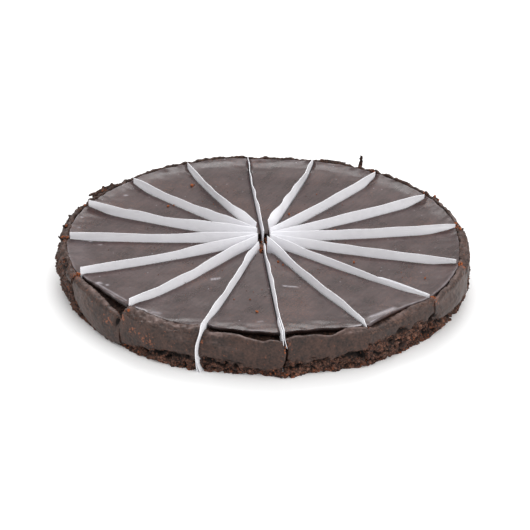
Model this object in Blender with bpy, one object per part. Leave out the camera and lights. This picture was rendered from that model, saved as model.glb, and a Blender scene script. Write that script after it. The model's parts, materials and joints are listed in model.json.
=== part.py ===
"""A flourless chocolate cake, ten inches across, ready cut into sixteen slices.

Each slice is a wedge of dense dark cake under its own sheet of ganache, and a wavy
sheet of white paper stands in each cut. The cuts are counted clockwise from the back,
and a slice has the number of the cut on its first side. +Z is up, the front is at -Y,
and the cake stands on Z = 0.
"""

from collections.abc import Callable
from dataclasses import dataclass
from math import asin, cos, exp, pi, radians, sin

import bmesh
import bpy
from mathutils import Matrix, Vector, noise

MM = 0.001

# Heights, in millimetres over the table
CAKE_HEIGHT = 25.5  # to the top of the ganache
GANACHE_THICKNESS = 3.2
SEAT_GAP = 0.3  # clear space between a slice and the ganache that lies on it
SEAT_HEIGHT = CAKE_HEIGHT - GANACHE_THICKNESS - SEAT_GAP
PAPER_FOOT = 0.4  # the paper stops just over the table

# Cuts and paper, in millimetres
HALF_SLIT = 0.95
PAPER_THICKNESS = 0.5
PAPER_LEAN = 0.2  # how far the paper stands off the middle of its slit
PAPER_SHORT = 1.0  # a sheet's foot ends this much nearer the middle than its top
CALM_START = 14.0  # the sheets stand straight within this radius
CALM_LENGTH = 22.0  # and wave fully this much further out
RIPPLE = 0.35  # share of a quicker wave on the slow one
RIPPLE_TURNS = 2.3
CROSSING = Vector((0.5, -0.6, 0.0))  # where the cuts meet, measured from the cake's middle

# The dished top: it rises in a curve towards the rim
DISH_WIDTH = 26.0  # width of the rising band inside the ganache's edge
DISH_POWER = 2.0
SEAT_DISH_ROWS = (0.5, 1.0)  # rows across that band, as shares of its width
TOP_DISH_ROWS = (0.35, 0.65, 1.0)

# How finely the solids are divided
SLICE_COLUMNS = 14
GANACHE_COLUMNS = 11
PAPER_COLUMNS = 16

# Heights of the rows up a slice's side, as shares of the way from foot to crest
SIDE_ROWS = (0.1, 0.22, 0.36, 0.53, 0.71, 0.87)

# Form of a slice's side, in millimetres unless it says otherwise
SIDE_RADIUS = 120.0  # where lengths along the side are measured
BELLY_DEPTH = 1.5  # how far the side bulges between its foot and its crest
BELLY_POWER = 0.8  # under 1 the bulge sits below the middle
SOFT_DEPTH = 0.5  # gentle waves over the whole side
SOFT_LENGTH = 14.0
SOFT_HEIGHT = 11.0
CLOD_DEPTH = 1.5  # broken crumb low on the side
CLOD_LENGTH = 6.0
CLOD_HEIGHT = 4.5
CLOD_SINK = 0.35  # the broken crumb lies this far behind the smooth side
CRUMB_BLEND = 1.6  # height over which smooth side turns into broken crumb
RAGGED_SHARE = 0.055  # unevenness of the crest for each millimetre of broken crumb
RAGGED_TURNS = 26.0  # its bumps for each radian

# Form of the crest and the seat, in millimetres
CREST_BEVEL = 0.9
CREST_FALL = 0.25  # the crest's inner edge is this much lower
CREST_WIDTH = 0.6  # width of its level top
SHOULDER_SLOPE = 0.5  # how steeply the crust falls from the crest to the side
GROOVE_WIDTH = 0.6  # the usual gap between ganache and crest
GROOVE_SLOPE = 0.35  # share of a wider groove that its floor moves out
GROOVE_FALL = 0.45  # share of a wider groove that its floor goes down
POINT_SLOPE = 0.8  # a slice's broken point leans out by this much from foot to seat
POINT_RAGGED = 1.2

# Form of the ganache's edge, in millimetres from its widest line
EDGE_FOOT = 0.4
EDGE_RISE = 1.1
EDGE_LEAN = 0.35
EDGE_ROUND = 0.5
EDGE_SHOULDER = 1.4

# Direction of each cut in degrees from +X, counted clockwise from the back
CUTS = (95.2, 73.9, 51.3, 29.5, 7.9, -14.3, -36.1, -60.7,
        -84.2, -107.4, -132.2, -157.1, -179.9, -200.3, -222.3, -243.3)  # fmt: skip


@dataclass(frozen=True)
class Rim:
    """A slice's rim, in millimetres, at its first cut, its middle and its second cut."""

    ganache: tuple[float, float, float]  # radius of the ganache's edge
    groove: tuple[float, float, float]  # from the ganache's edge to the crust's crest
    crest: tuple[float, float, float]  # height of the crest over that edge
    crust: tuple[float, float, float]  # outer radius just under the crest
    foot: tuple[float, float, float]  # outer radius at the table
    droop: tuple[float, float, float]  # how far the ganache's edge sinks
    rise: tuple[float, float, float]  # how far the dished top rises at that edge
    crumbly: float  # height up to which the side is broken crumb


RIMS = (
    Rim((113.4, 114.4, 115.8), (0.6, 0.6, 0.6), (0.1, 0.0, 0.1),
        (121.8, 122.4, 123.4), (120.5, 121.0, 121.5), (0.4, 0.4, 0.4),
        (3.8, 3.7, 3.8), 11),
    Rim((117.2, 117.2, 117.4), (0.6, 0.6, 0.6), (0.0, 0.1, 0.4),
        (124.0, 124.5, 124.5), (121.5, 122.0, 122.0), (0.4, 0.4, 0.5),
        (3.8, 4.1, 4.3), 12),
    Rim((118.0, 118.6, 119.2), (0.6, 0.6, 0.6), (0.3, 0.2, 0.4),
        (125.4, 125.0, 125.5), (122.5, 122.2, 122.0), (0.5, 0.6, 0.6),
        (4.3, 4.2, 4.1), 10),
    Rim((119.0, 119.9, 120.5), (0.6, 0.6, 0.6), (0.4, 0.1, 0.0),
        (126.0, 125.2, 124.6), (122.5, 122.0, 122.0), (0.4, 0.3, 0.3),
        (4.1, 3.7, 3.4), 12),
    Rim((120.1, 120.1, 121.0), (0.6, 0.6, 0.7), (0.0, 0.2, 0.1),
        (124.8, 126.0, 126.4), (123.0, 123.5, 123.0), (0.3, 0.3, 0.3),
        (3.4, 3.1, 2.8), 20),
    Rim((121.6, 120.9, 120.1), (0.8, 1.4, 1.4), (-0.8, -1.0, -1.2),
        (126.2, 124.8, 124.0), (123.5, 122.5, 121.6), (0.3, 0.4, 0.5),
        (2.8, 2.0, 1.5), 10),
    Rim((120.3, 114.8, 119.3), (0.8, 1.2, 0.8), (-0.9, -1.6, -2.2),
        (123.2, 120.4, 122.6), (121.6, 120.4, 121.8), (0.5, 0.9, 1.6),
        (1.5, 1.2, 1.0), 14),
    Rim((119.3, 113.5, 113.2), (0.6, 3.1, 3.8), (-3.2, -3.8, -3.9),
        (122.2, 118.9, 119.3), (121.4, 118.8, 118.2), (0.7, 0.8, 0.8),
        (1.0, 0.6, 0.5), 9),
    Rim((114.2, 112.3, 111.6), (4.6, 4.0, 0.8), (-3.9, -3.9, -2.6),
        (120.8, 119.2, 117.4), (118.2, 117.2, 119.0), (0.8, 0.8, 0.9),
        (0.5, 0.7, 1.4), 8),
    Rim((113.4, 114.5, 114.9), (1.2, 1.4, 1.0), (-1.6, -1.8, -1.4),
        (118.8, 120.4, 120.2), (119.6, 120.2, 119.8), (1.0, 1.2, 1.0),
        (1.5, 1.6, 2.0), 7),
    Rim((115.8, 115.0, 118.4), (2.9, 1.6, 0.8), (-4.2, -3.2, -1.4),
        (122.0, 121.2, 123.6), (120.2, 120.6, 121.4), (0.5, 0.5, 0.4),
        (2.0, 1.4, 1.0), 4),
    Rim((120.0, 120.8, 122.0), (0.7, 0.7, 0.6), (-0.4, -0.4, 0.2),
        (124.4, 126.0, 126.6), (122.0, 122.8, 123.6), (0.3, 0.3, 0.3),
        (1.0, 1.2, 1.2), 22),
    Rim((120.8, 121.8, 120.3), (0.7, 0.7, 0.6), (0.6, 1.2, 1.0),
        (126.6, 126.8, 126.4), (123.6, 124.0, 123.6), (0.3, 0.3, 0.3),
        (1.3, 2.4, 3.4), 18),
    Rim((120.6, 119.4, 117.6), (0.6, 0.6, 0.6), (1.2, 1.2, 0.5),
        (126.8, 126.0, 124.6), (123.6, 123.2, 122.4), (0.4, 0.6, 0.6),
        (3.5, 3.3, 3.3), 14),
    Rim((117.2, 117.3, 116.5), (0.6, 0.6, 0.6), (0.4, 0.3, 0.3),
        (124.2, 124.2, 124.0), (122.2, 122.2, 122.0), (0.6, 0.6, 0.6),
        (3.3, 3.5, 3.8), 12),
    Rim((116.3, 117.2, 116.2), (0.6, 0.6, 0.6), (0.1, 0.1, 0.2),
        (123.6, 123.8, 122.6), (121.8, 122.0, 121.0), (0.6, 0.6, 0.5),
        (3.8, 3.9, 3.8), 12),
)  # fmt: skip


@dataclass(frozen=True)
class Sheet:
    """One paper divider, in millimetres. Heights are over the ganache."""

    inner: float  # radius of its inner end
    outer: float  # radius of its outer end
    top: tuple[float, float, float]  # at its inner end, its middle and its outer end
    wave: float  # how far its top edge waves to each side
    turns: float  # number of waves
    phase: float  # where the waves start, in turns


SHEETS = (
    Sheet(2.4, 113.2, (6.4, 5.8, 6.0), 1.1, 4.3, 0.15),
    Sheet(3.6, 115.4, (7.2, 6.3, 6.2), 1.3, 3.2, 0.55),
    Sheet(4.1, 115.8, (6.9, 5.8, 6.4), 0.6, 2.4, 0.20),
    Sheet(3.5, 117.6, (6.5, 5.6, 6.2), 0.5, 2.0, 0.60),
    Sheet(4.2, 120.0, (6.0, 5.2, 5.6), 0.4, 1.6, 0.00),
    Sheet(3.6, 119.2, (5.6, 4.9, 4.5), 0.4, 1.8, 0.40),
    Sheet(4.1, 119.0, (4.8, 3.7, 2.4), 0.4, 1.5, 0.70),
    Sheet(3.5, 119.0, (5.4, 4.8, 3.0), 0.6, 2.2, 0.10),
    Sheet(2.3, 119.6, (6.0, 5.6, 5.2), 0.9, 3.1, 0.85),
    Sheet(4.4, 119.2, (6.4, 5.8, 5.4), 0.8, 2.6, 0.30),
    Sheet(5.0, 115.6, (6.9, 5.8, 6.0), 0.6, 2.4, 0.75),
    Sheet(4.5, 118.4, (6.3, 4.5, 5.2), 0.4, 1.9, 0.25),
    Sheet(5.1, 119.4, (6.3, 4.4, 5.3), 0.3, 1.7, 0.60),
    Sheet(4.5, 118.6, (7.2, 5.2, 6.8), 0.6, 2.6, 0.05),
    Sheet(5.0, 115.2, (7.2, 4.9, 6.3), 0.6, 2.5, 0.45),
    Sheet(4.6, 113.8, (7.0, 5.3, 6.2), 0.9, 3.0, 0.90),
)

# The two sheets that stand out of the side: cut number and how far they stand proud
PROUD_SHEETS = {9: 0.9, 10: 1.3}


@dataclass(frozen=True)
class Lump:
    """A swelling of the side or a hollow in it, in degrees and millimetres."""

    angle: float
    height: float
    wide: float
    tall: float
    push: float


LUMPS = (
    Lump(-83.6, 0.5, 5.0, 4.0, 3.6),  # heap of crumb at the foot of the front cut
    Lump(-141.0, 12.0, 20.0, 8.0, 1.4),  # belly of the slice with the open groove
    Lump(-25.0, 15.0, 16.0, 7.0, 1.6),
    Lump(-16.5, 9.0, 6.0, 4.0, 1.8),
    Lump(152.0, 25.0, 5.0, 3.0, 1.6),  # loose flap of crust at the back left
    Lump(186.0, 16.0, 14.0, 8.0, 1.2),
    Lump(-66.0, 4.0, 5.0, 3.0, -1.6),
    Lump(-112.0, 4.5, 5.0, 3.0, -1.5),
    Lump(-101.0, 4.5, 4.0, 2.5, -1.4),
    Lump(-40.0, 8.0, 5.0, 4.0, -1.5),
)

# The flake of crust that stands up at the back
FLAKE_ANGLE = 58.6
FLAKE_RADIUS = 119.2
FLAKE_BASE = 4.0  # height of the crust there over the middle of the cake
FLAKE_HEIGHT = 8.4
FLAKE_WIDTH = 2.6
FLAKE_THICKNESS = 1.1
FLAKE_ROOT = 3.0  # how deep its root sits in the crust
FLAKE_TWIST = 40.0  # degrees from root to tip
FLAKE_STEPS = 5

# Where a slice's point is broken off, and where its ganache starts
POINT_RADIUS = 8.0
GANACHE_POINT_RADIUS = 11.0


def clear_scene() -> None:
    """Remove whatever the scene holds."""
    for thing in list(bpy.data.objects):
        bpy.data.objects.remove(thing, do_unlink=True)


def material(name: str, color: tuple, roughness: float) -> bpy.types.Material:
    """Make a plain Principled material from a linear colour."""
    made = bpy.data.materials.new(name)
    made.use_nodes = True
    shader = made.node_tree.nodes["Principled BSDF"]
    shader.inputs["Base Color"].default_value = (*color, 1.0)
    shader.inputs["Roughness"].default_value = roughness
    shader.inputs["Metallic"].default_value = 0.0
    made.diffuse_color = (*color, 1.0)
    return made


def cake_material() -> bpy.types.Material:
    """Dense baked chocolate crumb."""
    return material("chocolate_crumb", (0.085, 0.058, 0.050), 0.65)


def ganache_material() -> bpy.types.Material:
    """Set chocolate and cream, with a soft shine."""
    return material("ganache", (0.160, 0.125, 0.122), 0.35)


def paper_material() -> bpy.types.Material:
    """Thin white baking paper."""
    return material("divider_paper", (0.72, 0.71, 0.75), 0.6)


def along(values: tuple, share: float) -> float:
    """Smooth curve through three values, at the start, the middle and the end."""
    first, middle, last = values
    return (
        first * (1 - share) * (1 - 2 * share)
        + middle * 4 * share * (1 - share)
        + last * share * (2 * share - 1)
    )


def turn_between(angle: float, other: float) -> float:
    """Smallest turn in degrees from one direction to another."""
    return (angle - other + 180) % 360 - 180


def swelling(angle: float, height: float) -> float:
    """What the lumps add to the radius of the side, in millimetres."""
    total = 0.0
    for lump in LUMPS:
        across = turn_between(angle, lump.angle) / (lump.wide / 2)
        up = (height - lump.height) / lump.tall
        total += lump.push * exp(-(across**2) - up**2)
    return total


def relief(angle: float, height: float, rim: Rim) -> float:
    """Roughness of the side: soft waves high up and broken crumb low down."""
    arc = radians(angle) * SIDE_RADIUS
    waves = noise.noise(Vector((arc / SOFT_LENGTH, height / SOFT_HEIGHT, 3.1)))
    clods = noise.noise(Vector((arc / CLOD_LENGTH, height / CLOD_HEIGHT, 9.7)))
    broken = 1 / (1 + exp((height - rim.crumbly) / CRUMB_BLEND))
    return SOFT_DEPTH * waves + broken * (CLOD_DEPTH * clods - CLOD_SINK)


def side_radius(angle: float, share: float, height: float, up: float, rim: Rim) -> float:
    """Radius of the side, part of the way up from the foot to the crest."""
    straight = along(rim.foot, share) * (1 - up) + along(rim.crust, share) * up
    belly = BELLY_DEPTH * sin(pi * up**BELLY_POWER)
    return straight + belly + swelling(angle, height) + relief(angle, height, rim)


def dish(rim: Rim, share: float, radius: float) -> float:
    """How far the dished top has risen at a radius."""
    across = 1 - (along(rim.ganache, share) - radius) / DISH_WIDTH
    return along(rim.rise, share) * min(1.0, max(0.0, across)) ** DISH_POWER


def dished(rim: Rim, share: float, level: float, rows: tuple) -> list[tuple[float, float]]:
    """Points across the rising band of a dished surface, from its outer side inwards."""
    radii = [along(rim.ganache, share) - DISH_WIDTH * row for row in rows]
    return [(radius, level + dish(rim, share, radius)) for radius in radii]


def section(rim: Rim, angle: float, share: float) -> list[tuple[float, float]]:
    """Radius and height of the points round a slice's section, from the point's foot."""
    ganache = along(rim.ganache, share)
    groove = along(rim.groove, share)
    rise = along(rim.rise, share)
    bumps = noise.noise(Vector((radians(angle) * RAGGED_TURNS, 5.5, 0.0)))
    ragged = RAGGED_SHARE * rim.crumbly * bumps
    crest = CAKE_HEIGHT + rise + along(rim.crest, share) + ragged
    inner = ganache + groove
    ridge = inner + CREST_WIDTH
    width = along(rim.crust, share) - ridge
    shoulder = crest - CREST_BEVEL - SHOULDER_SLOPE * max(0.0, width)
    point = POINT_RADIUS + POINT_RAGGED * noise.noise(Vector((share * 3, angle, 2.0)))
    ring = [(point, 0.0)]
    for up in (0.0, *SIDE_ROWS):
        height = up * shoulder
        ring.append((side_radius(angle, share, height, up, rim), height))
    outer = side_radius(angle, share, shoulder, 1.0, rim)
    wider = groove - GROOVE_WIDTH
    floor = ganache + SEAT_GAP + GROOVE_SLOPE * wider
    ring.append((max(outer, ridge + SEAT_GAP), shoulder))
    ring.append((ridge, crest))
    ring.append((inner, crest - CREST_FALL))
    ring.append((floor, SEAT_HEIGHT + rise - GROOVE_FALL * wider))
    ring += dished(rim, share, SEAT_HEIGHT, SEAT_DISH_ROWS)
    ring.append((point + POINT_SLOPE, SEAT_HEIGHT))
    return ring


def ganache_section(rim: Rim, angle: float, share: float) -> list[tuple[float, float]]:
    """Radius and height of the points round the ganache's section."""
    edge = along(rim.ganache, share)
    rise = along(rim.rise, share)
    sunk = CAKE_HEIGHT + rise - along(rim.droop, share)
    foot = CAKE_HEIGHT - GANACHE_THICKNESS
    point = GANACHE_POINT_RADIUS + POINT_RAGGED * noise.noise(Vector((share * 2, angle, 7.0)))
    inside = edge - EDGE_SHOULDER
    return [
        (point, foot),
        *reversed(dished(rim, share, foot, SEAT_DISH_ROWS)),
        (edge - EDGE_FOOT, foot + rise),
        (edge, foot + rise + EDGE_RISE),
        (edge - EDGE_LEAN, sunk - EDGE_ROUND),
        (inside, sunk - rise + dish(rim, share, inside)),
        *dished(rim, share, CAKE_HEIGHT, TOP_DISH_ROWS),
        (point + EDGE_ROUND, CAKE_HEIGHT),
    ]


def closed_loft(name: str, rings: list[list[Vector]]) -> bpy.types.Object:
    """Skin a row of closed rings, close both ends and return the object."""
    shape = bmesh.new()
    rows = [[shape.verts.new(point * MM) for point in ring] for ring in rings]
    for low, high in zip(rows, rows[1:]):
        for here in range(len(low)):
            after = (here + 1) % len(low)
            shape.faces.new((low[here], low[after], high[after], high[here]))
    shape.faces.new(reversed(rows[0]))
    shape.faces.new(rows[-1])
    return finished(name, shape)


def finished(name: str, shape: bmesh.types.BMesh) -> bpy.types.Object:
    """Turn the faces outwards and hand the shape over as an object."""
    bmesh.ops.recalc_face_normals(shape, faces=shape.faces)
    mesh = bpy.data.meshes.new(name)
    shape.to_mesh(mesh)
    shape.free()
    mesh.shade_smooth()
    mesh.set_sharp_from_angle(angle=radians(35))
    made = bpy.data.objects.new(name, mesh)
    bpy.context.scene.collection.objects.link(made)
    return made


def place(
    thing: bpy.types.Object, look: bpy.types.Material, angle: float, hub: bpy.types.Object
) -> None:
    """Dress a piece and turn it about the place where the cuts cross."""
    thing.data.materials.append(look)
    thing.parent = hub
    thing.rotation_euler.z = radians(angle)


def wedge_rings(number: int, columns: int, build_section: Callable) -> list[list[Vector]]:
    """Rings of a wedge that points along +X, between the slits on its two sides."""
    first = CUTS[number - 1]
    second = CUTS[number % len(CUTS)]
    opening = -turn_between(second, first)
    rim = RIMS[number - 1]
    rings = []
    for column in range(columns + 1):
        share = column / columns
        around = first - share * opening
        ring = []
        for radius, height in build_section(rim, around, share):
            half = radians(opening / 2) - asin(HALF_SLIT / radius)
            local = half * (1 - 2 * share)
            ring.append(Vector((radius * cos(local), radius * sin(local), height)))
        rings.append(ring)
    return rings


def middle_of_slice(number: int) -> float:
    """Direction of a slice's middle, in degrees."""
    first = CUTS[number - 1]
    return first + turn_between(CUTS[number % len(CUTS)], first) / 2


def make_slice(
    number: int, look: bpy.types.Material, hub: bpy.types.Object
) -> bpy.types.Object:
    """One wedge of cake with its crust."""
    rings = wedge_rings(number, SLICE_COLUMNS, section)
    made = closed_loft(f"slice_{number:02d}", rings)
    place(made, look, middle_of_slice(number), hub)
    return made


def make_ganache(
    number: int, look: bpy.types.Material, hub: bpy.types.Object
) -> bpy.types.Object:
    """The sheet of ganache on one slice."""
    rings = wedge_rings(number, GANACHE_COLUMNS, ganache_section)
    made = closed_loft(f"ganache_{number:02d}", rings)
    place(made, look, middle_of_slice(number), hub)
    return made


def sheet_height(sheet: Sheet, radius: float) -> float:
    """Height of a sheet's top edge over the middle of the ganache."""
    return along(sheet.top, (radius - sheet.inner) / (sheet.outer - sheet.inner))


def sheet_wave(sheet: Sheet, radius: float) -> float:
    """Sideways wave of a sheet's top edge, which dies out where the sheets crowd."""
    share = radius / sheet.outer
    calm = min(1.0, max(0.0, (radius - CALM_START) / CALM_LENGTH))
    slow = sin(2 * pi * (sheet.turns * share + sheet.phase))
    quick = sin(2 * pi * (RIPPLE_TURNS * sheet.turns * share + 3 * sheet.phase))
    return sheet.wave * calm * (slow + RIPPLE * quick)


def sheet_end(number: int, sheet: Sheet, low: bool) -> float:
    """Radius of a sheet's outer end at its foot or at its top."""
    if number not in PROUD_SHEETS:
        return sheet.outer - (PAPER_SHORT if low else 0.0)
    rim = RIMS[number - 1]
    angle = CUTS[number - 1]
    edge = rim.foot[0] if low else rim.ganache[0]
    reach = swelling(angle, 0.0) if low else 0.0
    return edge + max(reach, 0.0) + PROUD_SHEETS[number]


def make_paper(
    number: int, look: bpy.types.Material, hub: bpy.types.Object
) -> bpy.types.Object:
    """One paper divider: a thin wavy solid whose two faces are split alike."""
    sheet = SHEETS[number - 1]
    shape = bmesh.new()
    sides = []
    for side in (0.5, -0.5):
        grid = []
        for column in range(PAPER_COLUMNS + 1):
            share = column / PAPER_COLUMNS
            low_end = sheet_end(number, sheet, low=True)
            top_end = sheet_end(number, sheet, low=False)
            low = sheet.inner + (low_end - sheet.inner) * share
            top = sheet.inner + (top_end - sheet.inner) * share
            radius = min(top, sheet.outer)
            over = sheet_height(sheet, radius)
            away = side * PAPER_THICKNESS + PAPER_LEAN
            wave = sheet_wave(sheet, radius)
            grid.append((
                shape.verts.new(Vector((low, away, PAPER_FOOT)) * MM),
                shape.verts.new(Vector((top, away, CAKE_HEIGHT)) * MM),
                shape.verts.new(Vector((top, away + wave, CAKE_HEIGHT + over)) * MM),
            ))
        sides.append(grid)
    near, far = sides
    for here in range(PAPER_COLUMNS):
        after = here + 1
        for row in (0, 1):
            for grid in (near, far):
                shape.faces.new((grid[here][row], grid[after][row], grid[after][row + 1]))
                shape.faces.new((grid[here][row], grid[after][row + 1], grid[here][row + 1]))
        for row in (0, 2):
            shape.faces.new((near[here][row], far[here][row], far[after][row], near[after][row]))
    for end in (0, PAPER_COLUMNS):
        for row in (0, 1):
            shape.faces.new((near[end][row], near[end][row + 1], far[end][row + 1], far[end][row]))
    made = finished(f"paper_{number:02d}", shape)
    place(made, look, CUTS[number - 1], hub)
    return made


def make_flake(hub: bpy.types.Object) -> bpy.types.Object:
    """The thin twisted flake of crust that stands at the back, before it is joined on."""
    bottom = CAKE_HEIGHT + FLAKE_BASE - FLAKE_ROOT
    length = FLAKE_ROOT + FLAKE_HEIGHT
    rings = []
    for step in range(FLAKE_STEPS + 1):
        up = step / FLAKE_STEPS
        half = FLAKE_WIDTH / 2 * (1 - 0.75 * up**2) * (1 + 0.3 * sin(9 * up))
        flat = FLAKE_THICKNESS / 2 * (1 - 0.5 * up)
        turn = Matrix.Rotation(radians(FLAKE_TWIST) * up, 3, "Z")
        middle = Vector((FLAKE_RADIUS + 0.6 * sin(4 * up), 0.9 * up, bottom + length * up))
        corners = ((flat, -half), (flat * 1.3, 0), (flat, half), (-flat, half), (-flat, -half))
        rings.append([middle + turn @ Vector((x, y, 0)) for x, y in corners])
    made = closed_loft("flake", rings)
    made.parent = hub
    made.rotation_euler.z = radians(FLAKE_ANGLE)
    return made


def join_flake(crust: bpy.types.Object, flake: bpy.types.Object) -> None:
    """Join the standing flake to its slice as one solid."""
    bpy.context.view_layer.update()
    union = crust.modifiers.new("flake", "BOOLEAN")
    union.operation = "UNION"
    union.solver = "EXACT"
    union.object = flake
    with bpy.context.temp_override(object=crust, active_object=crust):
        bpy.ops.object.modifier_apply(modifier=union.name)
    bpy.data.objects.remove(flake, do_unlink=True)


def make_cake() -> None:
    """Build every slice, its ganache and the paper in its first cut."""
    clear_scene()
    hub = bpy.data.objects.new("crossing_of_the_cuts", None)
    hub.location = CROSSING * MM
    bpy.context.scene.collection.objects.link(hub)
    crumb = cake_material()
    glaze = ganache_material()
    paper = paper_material()
    slices = {}
    for number in range(1, len(CUTS) + 1):
        slices[number] = make_slice(number, crumb, hub)
        make_ganache(number, glaze, hub)
        make_paper(number, paper, hub)
    join_flake(slices[2], make_flake(hub))


make_cake()
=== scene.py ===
"""A flourless chocolate cake, ready cut into sixteen slices, on a plain pale floor.

Every slice of cake, sheet of ganache and paper divider is its own piece. Lengths are in
millimetres until a mesh is written, and are measured from the place where the cuts cross.
The cuts are counted clockwise from the back, and a slice has the number of the cut on its
first side.
"""

import json
import logging
from collections.abc import Callable, Sequence
from dataclasses import dataclass, field
from enum import Enum
from math import asin, atan2, cos, degrees, exp, hypot, pi, radians, sin, tau
from random import Random

import bpy
import numpy as np
from mathutils import Euler, Matrix, Vector, noise

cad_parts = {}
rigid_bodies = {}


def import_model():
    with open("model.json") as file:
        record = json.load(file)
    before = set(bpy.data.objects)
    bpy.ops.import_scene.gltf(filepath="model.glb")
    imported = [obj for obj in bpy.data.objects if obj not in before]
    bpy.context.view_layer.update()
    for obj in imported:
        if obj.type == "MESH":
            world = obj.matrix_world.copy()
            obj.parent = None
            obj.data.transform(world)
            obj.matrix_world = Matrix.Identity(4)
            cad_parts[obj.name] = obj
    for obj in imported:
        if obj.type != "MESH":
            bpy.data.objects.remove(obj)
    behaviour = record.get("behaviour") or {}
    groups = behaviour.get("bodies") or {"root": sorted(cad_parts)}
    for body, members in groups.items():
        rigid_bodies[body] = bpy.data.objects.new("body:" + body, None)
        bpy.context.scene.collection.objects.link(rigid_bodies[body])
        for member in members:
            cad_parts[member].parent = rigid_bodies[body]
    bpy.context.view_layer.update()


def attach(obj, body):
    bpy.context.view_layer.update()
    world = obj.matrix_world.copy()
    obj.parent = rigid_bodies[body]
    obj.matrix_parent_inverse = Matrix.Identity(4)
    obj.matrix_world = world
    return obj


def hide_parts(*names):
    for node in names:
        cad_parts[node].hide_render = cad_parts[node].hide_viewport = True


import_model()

LOG = logging.getLogger("cake")
Knots = tuple[tuple[float, float], ...]
Triple = tuple[float, float, float]
Row = tuple[float, float, float, float, float]  # a point's radius, its height and three looks

MM = 0.001
CROSSING = Vector((0.5, -0.6, 0.0))  # where the cuts meet
CAKE_HEIGHT = 25.5  # to the top of the ganache in the middle
GANACHE_THICKNESS = 3.2
SEAT_GAP = 0.3
SEAT_HEIGHT = CAKE_HEIGHT - GANACHE_THICKNESS - SEAT_GAP
HALF_SLIT = 0.95  # half the gap between two slices where the paper stands
SHUT_SLIT = 0.02  # and outside the paper's end
DISH_WIDTH = 26.0  # the ganache rises towards the rim over this width
BRIM_WIDTH = 8.8  # half of that rise is in this last stretch
SIDE_RADIUS = 120.0  # where lengths along the side are measured
WANDERING_FROM = 95.0  # the ends of slits and papers wander from here
WANDERING_WIDTH = 25.0  # and have wandered all the way after this much more
SHARP = radians(50)  # folds sharper than this show as edges


class Slot(Enum):
    """The material slots of the record."""

    CRUMB = "chocolate_crumb"
    GANACHE = "ganache"
    PAPER = "divider_paper"


@dataclass(frozen=True)
class Rim:
    """A slice's rim at its first cut, its middle and its second cut.

    The radii are those of the ganache's edge, of the crust under its crest and of the foot.
    The groove is the gap from the ganache to the crest, the crest's height is over the
    ganache's edge, the droop is how far that edge sinks, the rise is how far the dished
    top rises there, and the side is broken crumb up to the height crumbly.
    """

    ganache: Triple
    groove: Triple
    crest: Triple
    crust: Triple
    foot: Triple
    droop: Triple
    rise: Triple
    crumbly: Triple


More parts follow.
